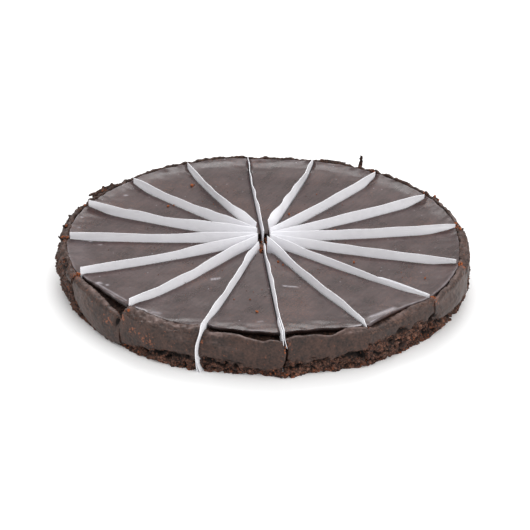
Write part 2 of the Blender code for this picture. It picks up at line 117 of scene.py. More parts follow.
RIMS = (
    Rim((115.4, 116.6, 117.8), (0.0, 0.0, 0.0), (0.1, 0.0, 0.1), (121.8, 122.4, 123.4),
        (120.5, 121.0, 121.5), (0.4, 0.4, 0.4), (3.8, 3.7, 3.8), (11, 11, 11)),
    Rim((118.6, 119.2, 119.6), (0.0, 0.0, 0.0), (0.0, 0.1, 0.3), (124.0, 124.5, 124.5),
        (121.5, 122.0, 122.0), (0.4, 0.4, 0.5), (3.8, 4.1, 4.3), (12, 12, 12)),
    Rim((120.0, 120.4, 121.0), (0.0, 0.0, 0.0), (0.2, 0.1, 0.3), (125.4, 125.0, 125.5),
        (122.5, 122.2, 122.0), (0.5, 0.6, 0.6), (4.3, 4.2, 4.1), (10, 10, 10)),
    Rim((121.0, 121.4, 121.6), (0.0, 0.0, -0.3), (0.3, 0.1, 0.2), (126.0, 125.2, 124.6),
        (122.5, 122.0, 122.0), (0.4, 0.3, 0.3), (4.1, 3.7, 3.4), (12, 12, 16)),
    Rim((120.6, 120.1, 121.0), (-0.3, -0.5, -0.3), (0.2, 0.3, 0.2), (126.2, 126.2, 126.4),
        (123.0, 123.5, 123.0), (0.3, 0.3, 0.3), (3.4, 3.1, 2.8), (18, 18, 17)),
    Rim((121.6, 120.9, 120.1), (0.0, 0.3, 1.3), (-0.4, -0.6, -1.4), (126.2, 124.8, 124.0),
        (123.5, 122.5, 121.6), (0.3, 0.4, 0.5), (2.8, 2.0, 1.5), (11, 10, 12)),
    Rim((120.3, 114.8, 119.3), (0.3, 0.6, 0.4), (-0.9, -1.6, -2.2), (123.2, 120.4, 122.6),
        (121.6, 120.4, 121.8), (0.5, 0.9, 1.6), (1.5, 1.2, 1.0), (15, 15, 15)),
    Rim((119.3, 113.5, 113.2), (0.6, 3.1, 3.8), (-3.2, -3.8, -3.9), (122.2, 118.9, 119.3),
        (121.4, 118.8, 118.2), (0.7, 0.8, 0.8), (1.0, 0.6, 0.5), (12.5, 10, 9.5)),
    Rim((114.2, 112.3, 111.6), (4.6, 4.0, 0.8), (-3.9, -3.9, -2.6), (120.8, 119.2, 117.4),
        (118.2, 117.2, 119.0), (0.8, 0.8, 0.9), (0.5, 0.7, 1.4), (5, 6, 10)),
    Rim((113.4, 114.5, 114.9), (-0.5, -0.5, -0.5), (-0.8, -0.9, -0.8), (118.8, 120.4, 120.2),
        (119.6, 120.2, 119.8), (1.0, 1.2, 1.0), (1.5, 1.6, 2.0), (9, 8, 3)),
    Rim((115.8, 115.0, 118.4), (2.9, 1.6, 0.8), (-4.2, -3.2, -1.4), (120.9, 121.2, 123.6),
        (120.2, 120.6, 121.4), (0.5, 0.5, 0.4), (2.0, 1.4, 1.0), (3, 2, 16)),
    Rim((120.0, 120.8, 122.0), (0.0, -0.5, -0.5), (-0.3, 0.2, 0.3), (124.4, 126.0, 126.6),
        (122.0, 122.8, 123.6), (0.3, 0.3, 0.3), (1.0, 1.2, 1.2), (20, 24, 24)),
    Rim((120.8, 121.8, 120.6), (-0.4, -0.4, -0.4), (0.6, 1.1, 0.3), (126.6, 126.6, 124.0),
        (123.6, 124.0, 123.6), (0.3, 0.3, 0.3), (1.3, 2.4, 3.4), (24, 18, 16)),
    Rim((120.6, 119.8, 119.2), (-0.4, -0.4, 0.0), (0.6, 0.4, 0.1), (124.0, 123.6, 123.4),
        (123.6, 123.2, 122.4), (0.4, 0.6, 0.6), (3.5, 3.3, 3.3), (16, 14, 14)),
    Rim((119.2, 119.5, 118.7), (0.0, 0.0, 0.0), (0.3, 0.2, 0.2), (124.2, 124.2, 124.0),
        (122.2, 122.2, 122.0), (0.3, 0.3, 0.3), (3.3, 3.5, 3.8), (12, 12, 12)),
    Rim((118.5, 119.4, 117.6), (0.0, 0.0, 0.0), (0.1, 0.1, 0.2), (123.6, 123.8, 122.6),
        (121.8, 122.0, 121.0), (0.6, 0.6, 0.5), (3.8, 3.9, 3.8), (12, 12, 12)),
)  # fmt: skip


LEVEL: Knots = ((0, 0), (1, 0))  # a line that adds nothing

# What a slice's crest adds to its smooth line, by share of the slice
LIPS: dict[int, Knots] = {
    7: ((0, 0.8), (0.2, 0.8), (0.4, -0.9), (0.6, -2.4), (0.9, -1.4), (1, -1.2)),
    8: ((0, 2.3), (0.06, 2.6), (0.14, 3.4), (0.22, 4.4), (0.28, 3.4), (0.36, 1.8), (0.42, 0.6), (0.5, 1.3),
        (0.58, 2.4), (0.7, 2.3), (0.85, 3.0), (1, 2.0)),
    9: ((0, 1.4), (0.12, 2.4), (0.22, 1.2), (0.42, 2.0), (0.52, 3.5), (0.6, 3.4), (0.76, 2.0),
        (0.92, -0.3), (1, -0.5)),
    11: ((0, -6.0), (0.035, -4.5), (0.08, -2.0), (0.28, -1.6), (0.45, 0.2), (0.62, 0.5), (1, 0.5)),
}  # fmt: skip

# How rough the crest of some slices is, from 0 to 1
TATTERED = {5: 0.45, 6: 0.1, 7: 0.35, 12: 0.35, 13: 0.45, 14: 0.35}

# How much of the bare crumb's colour shows where the side of these slices is crumbly
BARE = {5: 0.7, 12: 0.45, 13: 0.25, 14: 0.5}

# How far the ganache's edge strays outwards from its smooth line, by share of the slice
EDGES: dict[int, Knots] = {
    8: ((0, 0), (0.25, 0), (0.5, -2.0), (0.66, -1.2), (0.84, -1.2), (1, -1)),
    9: ((0, -0.8), (0.15, -1.5), (0.27, -2.6), (0.4, -1.2), (0.63, -1.8), (0.8, -0.5), (0.9, -1.2),
        (1, -1.5)),
    10: ((0, -1.3), (0.2, -0.8), (0.45, 0.7), (0.75, -1.3), (1, 0)),
}  # fmt: skip


@dataclass(frozen=True)
class Cut:
    """One cut and the paper in it.

    Angle is in degrees from +X, drift is how far the slit wanders to its counterclockwise
    side at a radius, lean is how far the paper's top edge stands off the slit there, top is
    the height of that edge over the middle of the ganache, shut is half the gap between the
    slices outside the paper's end, and sway is how far the outer end wanders by height.
    """

    angle: float
    inner: float
    outer: float
    top: Knots
    lean: Knots
    drift: Knots = ((0, 0), (130, 0))
    shut: float = SHUT_SLIT
    sway: Knots = ()

    def aside(self, radius: float, height: float) -> float:
        """How far the slit stands off its straight line at a place."""
        wander = at(self.sway, height, 1.5) if self.sway else 0.7 * rough(height / 4, self.angle, 5.0)
        return at(self.drift, radius) + wander * wandering(radius)


CUTS = (
    Cut(95.2, 2.4, 113.2, ((2, 6.4), (60, 5.8), (113, 6.0)),
        ((20, -.3), (42, -.7), (50, .5), (60, -.4), (70, 1.0), (82, .2), (90, .8), (102, -.1), (113, .6)),
        ((10, .2), (50, .6), (90, 1.0), (113, .5))),
    Cut(73.9, 12.5, 115.4, ((12, 9.0), (24, 7.2), (40, 6.4), (75, 6.2), (115, 6.2)),
        ((14, 1.2), (26, 3.1), (30, 2.7), (38, 1.4), (42, .8), (50, 1.6), (54, 1.5), (62, .1), (70, .8),
         (78, -.2), (84, -.7), (90, -1.2), (98, -.5), (106, .4), (115, 0))),
    Cut(51.3, 6.3, 115.8, ((6, 6.9), (14, 6.5), (20, 6.3), (30, 6.3), (60, 5.7), (72, 6.2), (84, 6.0),
         (94, 5.8), (105, 6.5), (116, 6.3)), ((20, .3), (60, -.2), (100, .2))),
    Cut(29.5, 4.6, 117.6, ((4, 5.2), (23, 5.3), (38, 5.3), (49, 5.4), (56, 5.9), (68, 5.8), (84, 5.4),
         (98, 6.0), (112, 6.3), (117, 5.7)), ((20, .3), (60, -.2), (100, .2))),
    Cut(7.9, 4.2, 120.0, ((4, 6.2), (36, 5.7), (46, 5.2), (55, 5.6), (68, 5.0), (80, 5.5), (92, 5.2),
         (104, 5.4), (115, 5.6), (120, 5.0)), ((20, .2), (60, -.2), (100, .2))),
    Cut(-14.3, 3.6, 119.2, ((4, 5.7), (38, 5.3), (46, 5.1), (54, 5.2), (62, 4.7), (72, 5.1), (86, 4.5),
         (96, 4.8), (119, 4.5)), ((20, .2), (60, -.2), (100, .2))),
    Cut(-36.1, 4.8, 119.0, ((4, 6.2), (20, 5.8), (30, 4.4), (44, 4.3), (60, 3.8), (74, 3.0), (84, 2.2),
         (98, 2.4), (110, 1.9), (119, 1.6)), ((20, .2), (60, -.2), (100, .2))),
    Cut(-60.7, 6.0, 119.0, ((6, 7.0), (26, 6.6), (34, 5.4), (42, 4.6), (50, 4.4), (60, 5.0), (70, 4.4),
         (78, 4.2), (88, 4.4), (98, 3.9), (106, 3.3), (119, 3.1)), ((20, .1), (60, -.1), (100, .1)),
        ((10, -1.5), (40, -1.7), (62, -1.3), (74, -1.2), (84, -.6), (92, 0), (130, 0))),
    Cut(-84.2, 7.0, 119.6, ((7, 2.4), (20, 5.2), (60, 5.6), (119, 5.2)),
        ((14, .4), (26, -.5), (34, 0), (42, .8), (50, .2), (60, 1.0), (70, .4), (80, .5), (90, .1),
         (98, 0), (106, .2), (119, 0)),
        ((10, -1.2), (30, -1.5), (60, -1.5), (90, -1.5), (106, -1.4), (120, -.3), (130, 0)), 0.4,
        ((0, -0.3), (4, -0.3), (14, 1.7), (19, 1.7), (25, 0), (32, 0))),
    Cut(-107.4, 7.4, 119.2, ((7, 3.4), (19, 4.7), (31, 6.2), (60, 5.9), (90, 5.8), (119, 5.4)),
        ((20, -.5), (26, -.9), (34, -.6), (42, .2), (50, -.4), (58, .1), (66, -.3), (74, .2), (80, .5),
         (92, -.6), (98, -.3), (106, .1), (119, .1)),
        ((10, -1.0), (30, -1.0), (46, 0), (86, .5), (130, .3)), 0.4,
        ((0, 0.3), (3, -0.8), (10, -2.3), (17, -2.2), (25, -0.4), (32, 0))),
    Cut(-132.2, 5.4, 115.6, ((5, 6.4), (30, 6.8), (46, 6.2), (62, 5.0), (76, 5.7), (92, 5.0), (104, 5.7),
         (116, 6.1)), ((20, .2), (60, -.2), (100, .2)),
        ((10, -1.2), (26, -1.5), (34, -.8), (54, 0), (62, 1.0), (94, 1.0), (108, .3), (130, 0)), SHUT_SLIT,
        ((0, -1.4), (17, -1.8), (22, -0.6), (30, 0))),
    Cut(-157.1, 4.5, 118.4, ((4, 6.8), (39, 6.2), (46, 5.8), (58, 4.3), (72, 4.2), (88, 4.7), (100, 5.1),
         (118, 5.1)), ((20, .2), (60, -.2), (100, .2))),
    Cut(-179.9, 5.1, 119.4, ((5, 6.8), (38, 6.2), (46, 5.3), (58, 4.4), (74, 4.3), (84, 4.8), (100, 5.2),
         (119, 5.3)), ((20, .2), (60, -.2), (100, .2))),
    Cut(-200.3, 4.6, 118.6, ((4, 8.7), (25, 8.3), (34, 7.4), (44, 7.0), (56, 5.4), (68, 4.6), (80, 5.8),
         (86, 6.1), (92, 5.2), (104, 6.4), (118, 7.2)), ((20, .2), (60, -.2), (100, .2))),
    Cut(-222.3, 5.8, 115.2, ((5, 7.5), (30, 7.6), (40, 6.3), (48, 6.3), (61, 4.8), (72, 5.2), (84, 4.7),
         (96, 5.7), (107, 6.7), (115, 5.8)), ((20, .3), (60, -.2), (100, .2))),
    Cut(-243.3, 12.5, 113.8, ((12, 7.5), (30, 6.3), (42, 5.2), (60, 4.8), (80, 5.2), (113, 6.2)),
        ((14, -1.0), (30, -2.3), (38, -2.0), (42, -1.1), (46, -.3), (54, -.3), (62, .4), (66, 1.2), (74, .7),
         (84, 1.1), (96, .2), (113, -.2))),
)  # fmt: skip


@dataclass(frozen=True)
class Swelling:
    """A swelling of the side, or a hollow where push is below zero."""

    angle: float
    height: float
    wide: float
    tall: float
    push: float


SWELLINGS = (
    Swelling(-83.6, 0.5, 5.0, 4.0, 3.6),  # heap of crumb at the foot of the front cut
    Swelling(-141.0, 12.0, 20.0, 8.0, 1.4),  # belly of the slice with the open groove
    Swelling(-25.0, 15.0, 16.0, 7.0, 1.6),
    Swelling(-16.5, 9.0, 6.0, 4.0, 1.8),
    Swelling(152.0, 25.0, 5.0, 3.0, 1.6),  # loose flap of crust at the back left
    Swelling(186.0, 16.0, 14.0, 8.0, 1.2),
    Swelling(-66.0, 4.0, 5.0, 3.0, -1.6),
    Swelling(-112.0, 4.5, 5.0, 3.0, -1.5),
    Swelling(-101.0, 4.5, 4.0, 2.5, -1.4),
    Swelling(-40.0, 8.0, 5.0, 4.0, -1.5),
    Swelling(159.5, 25.0, 4.0, 9.0, -3.0),  # the crust is missing where this cut ends
    Swelling(-9.0, 5.0, 3.0, 3.0, 1.6),
    Swelling(-4.0, 13.0, 3.0, 2.5, 1.2),
)

FADED = 12.0  # a swelling is left out where it has faded by exp of this

# Deep holes where lumps of crumb have fallen out, painted black with shade
HOLES = (
    Swelling(-104.3, 8.2, 4.6, 1.7, -3.2),
    Swelling(-99.4, 8.6, 3.4, 1.5, -3.0),
    Swelling(-96.4, 7.6, 2.6, 1.4, -2.6),
    Swelling(-119.1, 6.4, 4.2, 1.8, -3.0),
    Swelling(-113.2, 8.2, 3.6, 1.8, -3.2),
    Swelling(-110.0, 8.6, 3.0, 1.5, -2.6),
    Swelling(-76.6, 10.6, 3.4, 0.9, -1.7),
    Swelling(-64.9, 10.0, 3.6, 1.8, -2.8),
    Swelling(-48.6, 15.0, 3.6, 2.6, -2.4),
    Swelling(-36.3, 14.4, 3.4, 2.6, -2.6),
    Swelling(-38.3, 6.0, 2.4, 4.6, -2.4),
    Swelling(-133.2, 18.6, 1.5, 2.4, -4.0),
    Swelling(-133.6, 15.8, 1.0, 1.8, -2.6),
)

# Places on the side that are pale: scuffed crumb, and painted glints where lumps catch the light
PALE_SCUFFS_AND_GLINTS = (
    Swelling(-48.6, 4.0, 3.4, 2.4, 0.9),
    Swelling(-50.3, 8.0, 2.0, 2.0, 0.7),
    Swelling(-122.8, 24.6, 6.0, 1.4, 0.8),
    Swelling(-112.4, 20.5, 7.0, 2.6, 0.45),
    Swelling(-117.5, 23.4, 4.0, 0.9, 0.6),
    Swelling(-151.9, 18.4, 2.0, 2.0, 0.8),
    Swelling(-103.7, 20.0, 5.0, 1.4, 0.4),
    Swelling(-103.2, 24.4, 4.0, 1.6, 0.9),
    Swelling(-99.0, 17.5, 6.0, 1.6, 0.35),
    Swelling(-64.0, 24.6, 8.0, 1.2, 1.0),
    Swelling(-47.0, 24.2, 16.0, 1.8, 0.6),
    Swelling(-26.4, 22.0, 5.0, 1.6, 0.5),
    Swelling(-5.0, 25.5, 12.0, 2.0, 0.5),
    Swelling(-33.0, 22.0, 3.0, 1.6, 0.6),
)

# Where orange-brown crumb shows on the side
WARM = (
    Swelling(-127.3, 16.0, 4.0, 3.0, 0.75),
    Swelling(-122.0, 13.0, 6.0, 5.0, 0.85),
    Swelling(-137.3, 15.0, 5.0, 4.0, 0.75),
    Swelling(-144.5, 18.0, 5.0, 4.0, 0.35),
    Swelling(-131.6, 21.0, 1.8, 5.0, 1.0),
    Swelling(-156.6, 26.0, 4.0, 3.0, 0.9),
    Swelling(-166.0, 12.0, 18.0, 12.0, 0.15),
    Swelling(-172.0, 26.0, 10.0, 3.0, 0.2),
    Swelling(-179.6, 27.0, 3.5, 2.5, 1.0),
    Swelling(-14.3, 26.5, 3.0, 2.5, 1.0),
    Swelling(-6.0, 24.0, 10.0, 6.0, 0.2),
    Swelling(-35.6, 25.0, 2.4, 3.0, 0.9),
    Swelling(-40.0, 5.0, 22.0, 6.0, 0.4),
    Swelling(-84.0, 2.6, 6.0, 3.5, 0.55),
    Swelling(-83.8, 20.0, 1.8, 4.0, 0.6),
    Swelling(-107.0, 18.0, 1.4, 5.0, 0.5),
)


def along(values: Triple, share: float) -> float:
    """Smooth curve through three values.

    Args:
        values: What it passes through at the start, the middle and the end.
        share: How far along, from 0 to 1.

    Returns:
        The value there.
    """
    first, middle, last = values
    near = first * (1 - share) * (1 - 2 * share)
    return near + middle * 4 * share * (1 - share) + last * share * (2 * share - 1)


def at(knots: Knots, place: float, reach: float = 2.5) -> float:
    """Value of a knotted line at a place, rounded off between its knots over a reach."""
    places, values = zip(*knots)
    return float(np.interp((place - reach, place, place + reach), places, values).mean())


def rough(x: float, y: float, layer: float) -> float:
    """Even roughness between -1 and 1 with bumps about one unit apart."""
    return noise.noise(Vector((x, y, layer)))


def clamp(value: float) -> float:
    """Keep a value between 0 and 1."""
    return min(1.0, max(0.0, value))


def wandering(radius: float) -> float:
    """How much of its end's wandering a slit or a paper has at a radius."""
    return max(0.0, (radius - WANDERING_FROM) / WANDERING_WIDTH)


def turn_between(angle: float, other: float) -> float:
    """Smallest turn in degrees from one direction to another."""
    return (angle - other + 180) % 360 - 180


@dataclass(frozen=True)
class Grain:
    """Roughness of a face: how deep it is, how long and tall its bumps are, and its pattern."""

    depth: float
    long: float
    tall: float
    pattern: float

    def at(self, along_face: float, up: float) -> float:
        """What it adds at a place on the face."""
        return self.depth * rough(along_face / self.long, up / self.tall, self.pattern)


@dataclass(frozen=True)
class Ripple:
    """Unevenness of a line: how deep it is, how long its waves are, and its pattern."""

    depth: float
    long: float
    row: float
    pattern: float

    def at(self, along_line: float) -> float:
        """What it adds at a place on the line."""
        return self.depth * rough(along_line / self.long, self.row, self.pattern)


def pushed(places: Sequence[Swelling], angle: float, height: float) -> float:
    """What a set of swellings adds to the side's radius.

    Args:
        places: The swellings or hollows.
        angle: Direction in degrees.
        height: Height over the table.

    Returns:
        The sum of their pushes there.
    """
    total = 0.0
    for place in places:
        across = turn_between(angle, place.angle) / (place.wide / 2)
        up = (height - place.height) / place.tall
        if across * across + up * up < FADED:
            total += place.push * exp(-(across**2) - up**2)
    return total


def deselect_all() -> None:
    """Leave nothing selected and nothing active."""
    for thing in bpy.context.view_layer.objects:
        thing.select_set(False)
    bpy.context.view_layer.objects.active = None


def linear(code: str) -> tuple[float, float, float, float]:
    """Turn an sRGB hex colour into a linear one for a socket.

    Args:
        code: The colour as #RRGGBB.

    Returns:
        Its linear red, green and blue, and full cover.
    """
    parts = (int(code[place : place + 2], 16) / 255 for place in (1, 3, 5))
    red, green, blue = (
        part / 12.92 if part <= 0.04045 else ((part + 0.055) / 1.055) ** 2.4 for part in parts
    )
    return red, green, blue, 1.0


def add(tree: bpy.types.NodeTree, kind: str, inputs: dict, **settings: object) -> bpy.types.Node:
    """Add one node to a material.

    Args:
        tree: The material's nodes.
        kind: Blender's name for the kind of node.
        inputs: For each input, the output that feeds it or its own value.
        settings: The node's settings.

    Returns:
        The new node.
    """
    made = tree.nodes.new(kind)
    for name, value in settings.items():
        setattr(made, name, value)
    for name, value in inputs.items():
        if isinstance(value, bpy.types.NodeSocket):
            tree.links.new(value, made.inputs[name])
        else:
            made.inputs[name].default_value = value
    return made


@dataclass(frozen=True)
class Finish:
    """What every finish has: a name for the real material and how it was made."""

    name: str
    roughness: float
    ior: float

    def begin(self) -> tuple[bpy.types.Material, bpy.types.NodeTree, bpy.types.Node]:
        """Start a material.

        Returns:
            The material, its nodes and its shader.
        """
        made = bpy.data.materials.new(self.name)
        made.use_nodes = True
        shader = made.node_tree.nodes["Principled BSDF"]
        shader.inputs["Roughness"].default_value = self.roughness
        shader.inputs["IOR"].default_value = self.ior
        return made, made.node_tree, shader

    @staticmethod
    def per(size: float) -> float:
        """Texture scale that repeats about once in so many millimetres."""
        return 1 / (size * MM)


@dataclass(frozen=True)
class BakedCrumb(Finish):
    """Dense baked chocolate: a satin crust where it touched the tin, matt crumb where torn."""

    crust_dark: str = "#1E1410"
    crust_light: str = "#4A332A"
    crumb_dark: str = "#150C09"
    crumb_mid: str = "#422C23"
    crumb_light: str = "#86604F"
    painted_shade_colour: str = "#110A08"
    orange: str = "#80492F"
    # scuffed pale crumb, and the colour of the painted highlight and glints on the crest
    worn: str = "#7A6661"
    shine: float = 0.42
    torn_roughness: float = 0.9
    grain: float = 1.3
    clump: float = 4.0
    drag: float = 2.6  # width of the smears that the tin left on the crust
    cloud: float = 12.0
    speck: float = 1.5  # width of an orange-brown grain
    crust_relief: float = 0.2
    crumb_relief: float = 0.8
    relief_depth: float = 0.5

    def build(self) -> bpy.types.Material:
        """Make the material.

        Returns:
            The material.
        """
        made, tree, shader = self.begin()
        shader.inputs["Specular IOR Level"].default_value = self.shine
        place = add(tree, "ShaderNodeTexCoord", {}).outputs["Object"]
        broken, painted_shade, warm, wear_and_highlight = (
            add(tree, "ShaderNodeAttribute", {}, attribute_name=name).outputs["Fac"]
            for name in ("broken", "painted_shade", "warm", "wear_and_highlight")
        )
        # grains of crumb a little over a millimetre across, in clumps of four
        grain = add(tree, "ShaderNodeTexNoise", {"Vector": place, "Scale": self.per(self.grain),
                    "Detail": 2.0})  # fmt: skip
        clump = add(tree, "ShaderNodeTexNoise", {"Vector": place, "Scale": self.per(self.clump),
                    "Detail": 3.0})  # fmt: skip
        mixed = add(tree, "ShaderNodeMix", {0: 0.45, 2: grain.outputs["Fac"], 3: clump.outputs["Fac"]})
        ramp = add(tree, "ShaderNodeValToRGB", {"Fac": mixed.outputs[0]})
        ramp.color_ramp.elements[0].position = 0.39
        ramp.color_ramp.elements[0].color = linear(self.crumb_dark)
        ramp.color_ramp.elements[1].position = 0.63
        ramp.color_ramp.elements[1].color = linear(self.crumb_light)
        middle = ramp.color_ramp.elements.new(0.5)
        middle.color = linear(self.crumb_mid)
        # the crust is clouded, with upright smears where it slid off the tin
        upright = add(tree, "ShaderNodeMapping", {"Vector": place, "Scale": (1.0, 1.0, 0.4)})
        smear = add(tree, "ShaderNodeTexNoise", {"Vector": upright.outputs[0], "Scale": self.per(self.drag),
                    "Detail": 3.0})  # fmt: skip
        clouds = add(tree, "ShaderNodeTexNoise", {"Vector": place, "Scale": self.per(self.cloud),
                     "Detail": 2.0})  # fmt: skip
        both = add(tree, "ShaderNodeMix", {0: 0.5, 2: smear.outputs["Fac"], 3: clouds.outputs["Fac"]})
        mottled = add(tree, "ShaderNodeMix", {0: 0.45, 2: both.outputs[0], 3: grain.outputs["Fac"]})
        shade = add(tree, "ShaderNodeMapRange", {"Value": mottled.outputs[0], "From Min": 0.38,
                    "From Max": 0.62})  # fmt: skip
        crust = add(tree, "ShaderNodeMix", {0: shade.outputs[0], 6: linear(self.crust_dark),
                    7: linear(self.crust_light)}, data_type="RGBA")  # fmt: skip
        # a painted highlight along the crest, and scuffed pale patches with painted glints, broken up by the
        # smears
        highlight_patches = add(tree, "ShaderNodeMath", {0: wear_and_highlight, 1: smear.outputs["Fac"]}, operation="MULTIPLY")
        baked = add(tree, "ShaderNodeMix", {0: broken, 6: crust.outputs[2], 7: ramp.outputs["Color"]},
                    data_type="RGBA")  # fmt: skip
        colour = add(tree, "ShaderNodeMix", {0: highlight_patches.outputs[0], 6: baked.outputs[2], 7: linear(self.worn)},
                     data_type="RGBA")  # fmt: skip
        # orange-brown grains show only where the cake is warm
        spots = add(tree, "ShaderNodeTexNoise", {"Vector": place, "Scale": self.per(self.speck),
                    "Detail": 1.5})  # fmt: skip
        raised = add(tree, "ShaderNodeMath", {0: warm, 1: 0.26, 2: spots.outputs["Fac"]},
                     operation="MULTIPLY_ADD")  # fmt: skip
        orange = add(tree, "ShaderNodeMapRange", {"Value": raised.outputs[0], "From Min": 0.68,
                     "From Max": 0.84})  # fmt: skip
        tinted = add(tree, "ShaderNodeMix", {0: orange.outputs[0], 6: colour.outputs[2],
                     7: linear(self.orange)}, data_type="RGBA")  # fmt: skip
        # painted shade where little light reaches: in holes and grooves, under the cake and over tattered
        # slices
        final = add(tree, "ShaderNodeMix", {0: painted_shade, 6: tinted.outputs[2], 7: linear(self.painted_shade_colour)},
                    data_type="RGBA")  # fmt: skip
        tree.links.new(final.outputs[2], shader.inputs["Base Color"])
        torn = add(tree, "ShaderNodeMath", {0: broken, 1: painted_shade}, operation="MAXIMUM")
        matt = add(tree, "ShaderNodeMapRange", {"Value": torn.outputs[0], "To Min": self.roughness,
                   "To Max": self.torn_roughness})  # fmt: skip
        tree.links.new(matt.outputs[0], shader.inputs["Roughness"])
        relief = add(tree, "ShaderNodeMapRange", {"Value": broken, "To Min": self.crust_relief,
                     "To Max": self.crumb_relief})  # fmt: skip
        bump = add(tree, "ShaderNodeBump", {"Strength": relief.outputs[0],
                   "Distance": self.relief_depth * MM, "Height": grain.outputs["Fac"]})  # fmt: skip
        tree.links.new(bump.outputs["Normal"], shader.inputs["Normal"])
        return made


@dataclass(frozen=True)
class TornCrumb(Finish):
    """A loose crumb of baked chocolate: matt, torn on every side."""

    dark: str
    light: str
    patch: float = 2.0

    def build(self) -> bpy.types.Material:
        """Make the material.

        Returns:
            The material.
        """
        made, tree, shader = self.begin()
        place = add(tree, "ShaderNodeTexCoord", {}).outputs["Object"]
        # neighbouring crumbs differ, so the pattern is about as wide as one
        patches = add(tree, "ShaderNodeTexNoise", {"Vector": place, "Scale": self.per(self.patch),
                      "Detail": 3.0})  # fmt: skip
        spread = add(tree, "ShaderNodeMapRange", {"Value": patches.outputs["Fac"], "From Min": 0.3,
                     "From Max": 0.7})  # fmt: skip
        base = add(tree, "ShaderNodeMix", {0: spread.outputs[0], 6: linear(self.dark), 7: linear(self.light)},
                   data_type="RGBA")  # fmt: skip
        tree.links.new(base.outputs[2], shader.inputs["Base Color"])
        return made


@dataclass(frozen=True)
class SetGanache(Finish):
    """Chocolate and cream, poured, spread with a knife and set: satin with faint strokes.

    The sizes are in millimetres: of a cloud, of a knife stroke across it and how many times as
    long it is, of a grain, of a dusted patch, of a grain of dust and of the room of one bubble.
    """

    dark: str = "#2C1E1D"
    light: str = "#483534"
    # pale: the colour of smears and bubble specks, and of the painted highlights
    pale: str = "#AFAAB0"
    dust: str = "#85553D"
    shaded: str = "#1B110F"
    shine: float = 0.36
    cloud: float = 16.0
    stroke: float = 1.8
    stroke_stretch: float = 8.0
    stroke_turn: float = 60.0  # degrees
    grain: float = 1.3
    dust_patch: float = 30.0
    dust_grain: float = 0.9
    bubble: float = 6.0
    relief: float = 0.22
    relief_depth: float = 0.4

    def build(self) -> bpy.types.Material:
        """Make the material.

        Returns:
            The material.
        """
        made, tree, shader = self.begin()
        shader.inputs["Specular IOR Level"].default_value = self.shine
        place = add(tree, "ShaderNodeTexCoord", {}).outputs["Object"]
        # pale holds smears and painted highlights, edge the painted highlight along the edge, face the
        # painted shade under it
        pale, edge, face = (
            add(tree, "ShaderNodeAttribute", {}, attribute_name=name).outputs["Fac"]
            for name in ("pale", "edge", "face")
        )
        cloudy = add(tree, "ShaderNodeTexNoise", {"Vector": place, "Scale": self.per(self.cloud),
                     "Detail": 4.0})  # fmt: skip
        # the spreading knife left strokes some fifteen millimetres long and two wide
        turned = add(tree, "ShaderNodeMapping", {"Vector": place,
                     "Rotation": (0, 0, radians(self.stroke_turn)),
                     "Scale": (self.stroke_stretch, 1.0, 1.0)}, vector_type="TEXTURE")  # fmt: skip
        strokes = add(tree, "ShaderNodeTexNoise", {"Vector": turned.outputs[0],
                      "Scale": self.per(self.stroke), "Detail": 2.0})  # fmt: skip
        grainy = add(tree, "ShaderNodeTexNoise", {"Vector": place, "Scale": self.per(self.grain),
                     "Detail": 2.0})  # fmt: skip
        brushed = add(tree, "ShaderNodeMix", {0: 0.5, 2: cloudy.outputs["Fac"], 3: strokes.outputs["Fac"]})
        mixed = add(tree, "ShaderNodeMix", {0: 0.3, 2: brushed.outputs[0], 3: grainy.outputs["Fac"]})
        spread = add(tree, "ShaderNodeMapRange", {"Value": mixed.outputs[0], "From Min": 0.38,
                     "From Max": 0.62})  # fmt: skip
        base = add(tree, "ShaderNodeMix", {0: spread.outputs[0], 6: linear(self.dark), 7: linear(self.light)},
                   data_type="RGBA")  # fmt: skip
        # a dusting of fine brown crumb in patches some thirty millimetres wide
        patches = add(tree, "ShaderNodeTexNoise", {"Vector": place, "Scale": self.per(self.dust_patch),
                      "Detail": 1.0})  # fmt: skip
        where = add(tree, "ShaderNodeMapRange", {"Value": patches.outputs["Fac"], "From Min": 0.5,
                    "From Max": 0.7, "To Max": 0.12})  # fmt: skip
        fine = add(tree, "ShaderNodeTexNoise", {"Vector": place, "Scale": self.per(self.dust_grain),
                   "Detail": 1.0})  # fmt: skip
        lifted = add(tree, "ShaderNodeMath", {0: fine.outputs["Fac"], 1: where.outputs[0]}, operation="ADD")
        dusty = add(tree, "ShaderNodeMapRange", {"Value": lifted.outputs[0], "From Min": 0.62,
                    "From Max": 0.78, "To Max": 0.35})  # fmt: skip
        dusted = add(tree, "ShaderNodeMix", {0: dusty.outputs[0], 6: base.outputs[2], 7: linear(self.dust)},
                     data_type="RGBA")  # fmt: skip
        # tiny pale specks where air bubbles closed, one or two in a square centimetre
        cells = add(tree, "ShaderNodeTexVoronoi", {"Vector": place, "Scale": self.per(self.bubble)})
        dot = add(tree, "ShaderNodeMapRange", {"Value": cells.outputs["Distance"], "From Min": 0.09,
                  "From Max": 0.05, "To Max": 0.5})  # fmt: skip
        chosen = add(tree, "ShaderNodeSeparateColor", {"Color": cells.outputs["Color"]})
        rare = add(tree, "ShaderNodeMath", {0: chosen.outputs[0], 1: 0.5}, operation="GREATER_THAN")
        speck = add(tree, "ShaderNodeMath", {0: dot.outputs[0], 1: rare.outputs[0]}, operation="MULTIPLY")
        # a painted highlight along the edge, stronger in patches
        highlight_patches = add(tree, "ShaderNodeMapRange", {"Value": cloudy.outputs["Fac"], "From Min": 0.42,
                     "From Max": 0.6, "To Max": 0.3})  # fmt: skip
        bright = add(tree, "ShaderNodeMath", {0: edge, 1: highlight_patches.outputs[0], 2: pale},
                     operation="MULTIPLY_ADD")  # fmt: skip
        total = add(tree, "ShaderNodeMath", {0: bright.outputs[0], 1: speck.outputs[0]}, operation="ADD",
                    use_clamp=True)  # fmt: skip
        lit = add(tree, "ShaderNodeMix", {0: total.outputs[0], 6: dusted.outputs[2], 7: linear(self.pale)},
                  data_type="RGBA")  # fmt: skip
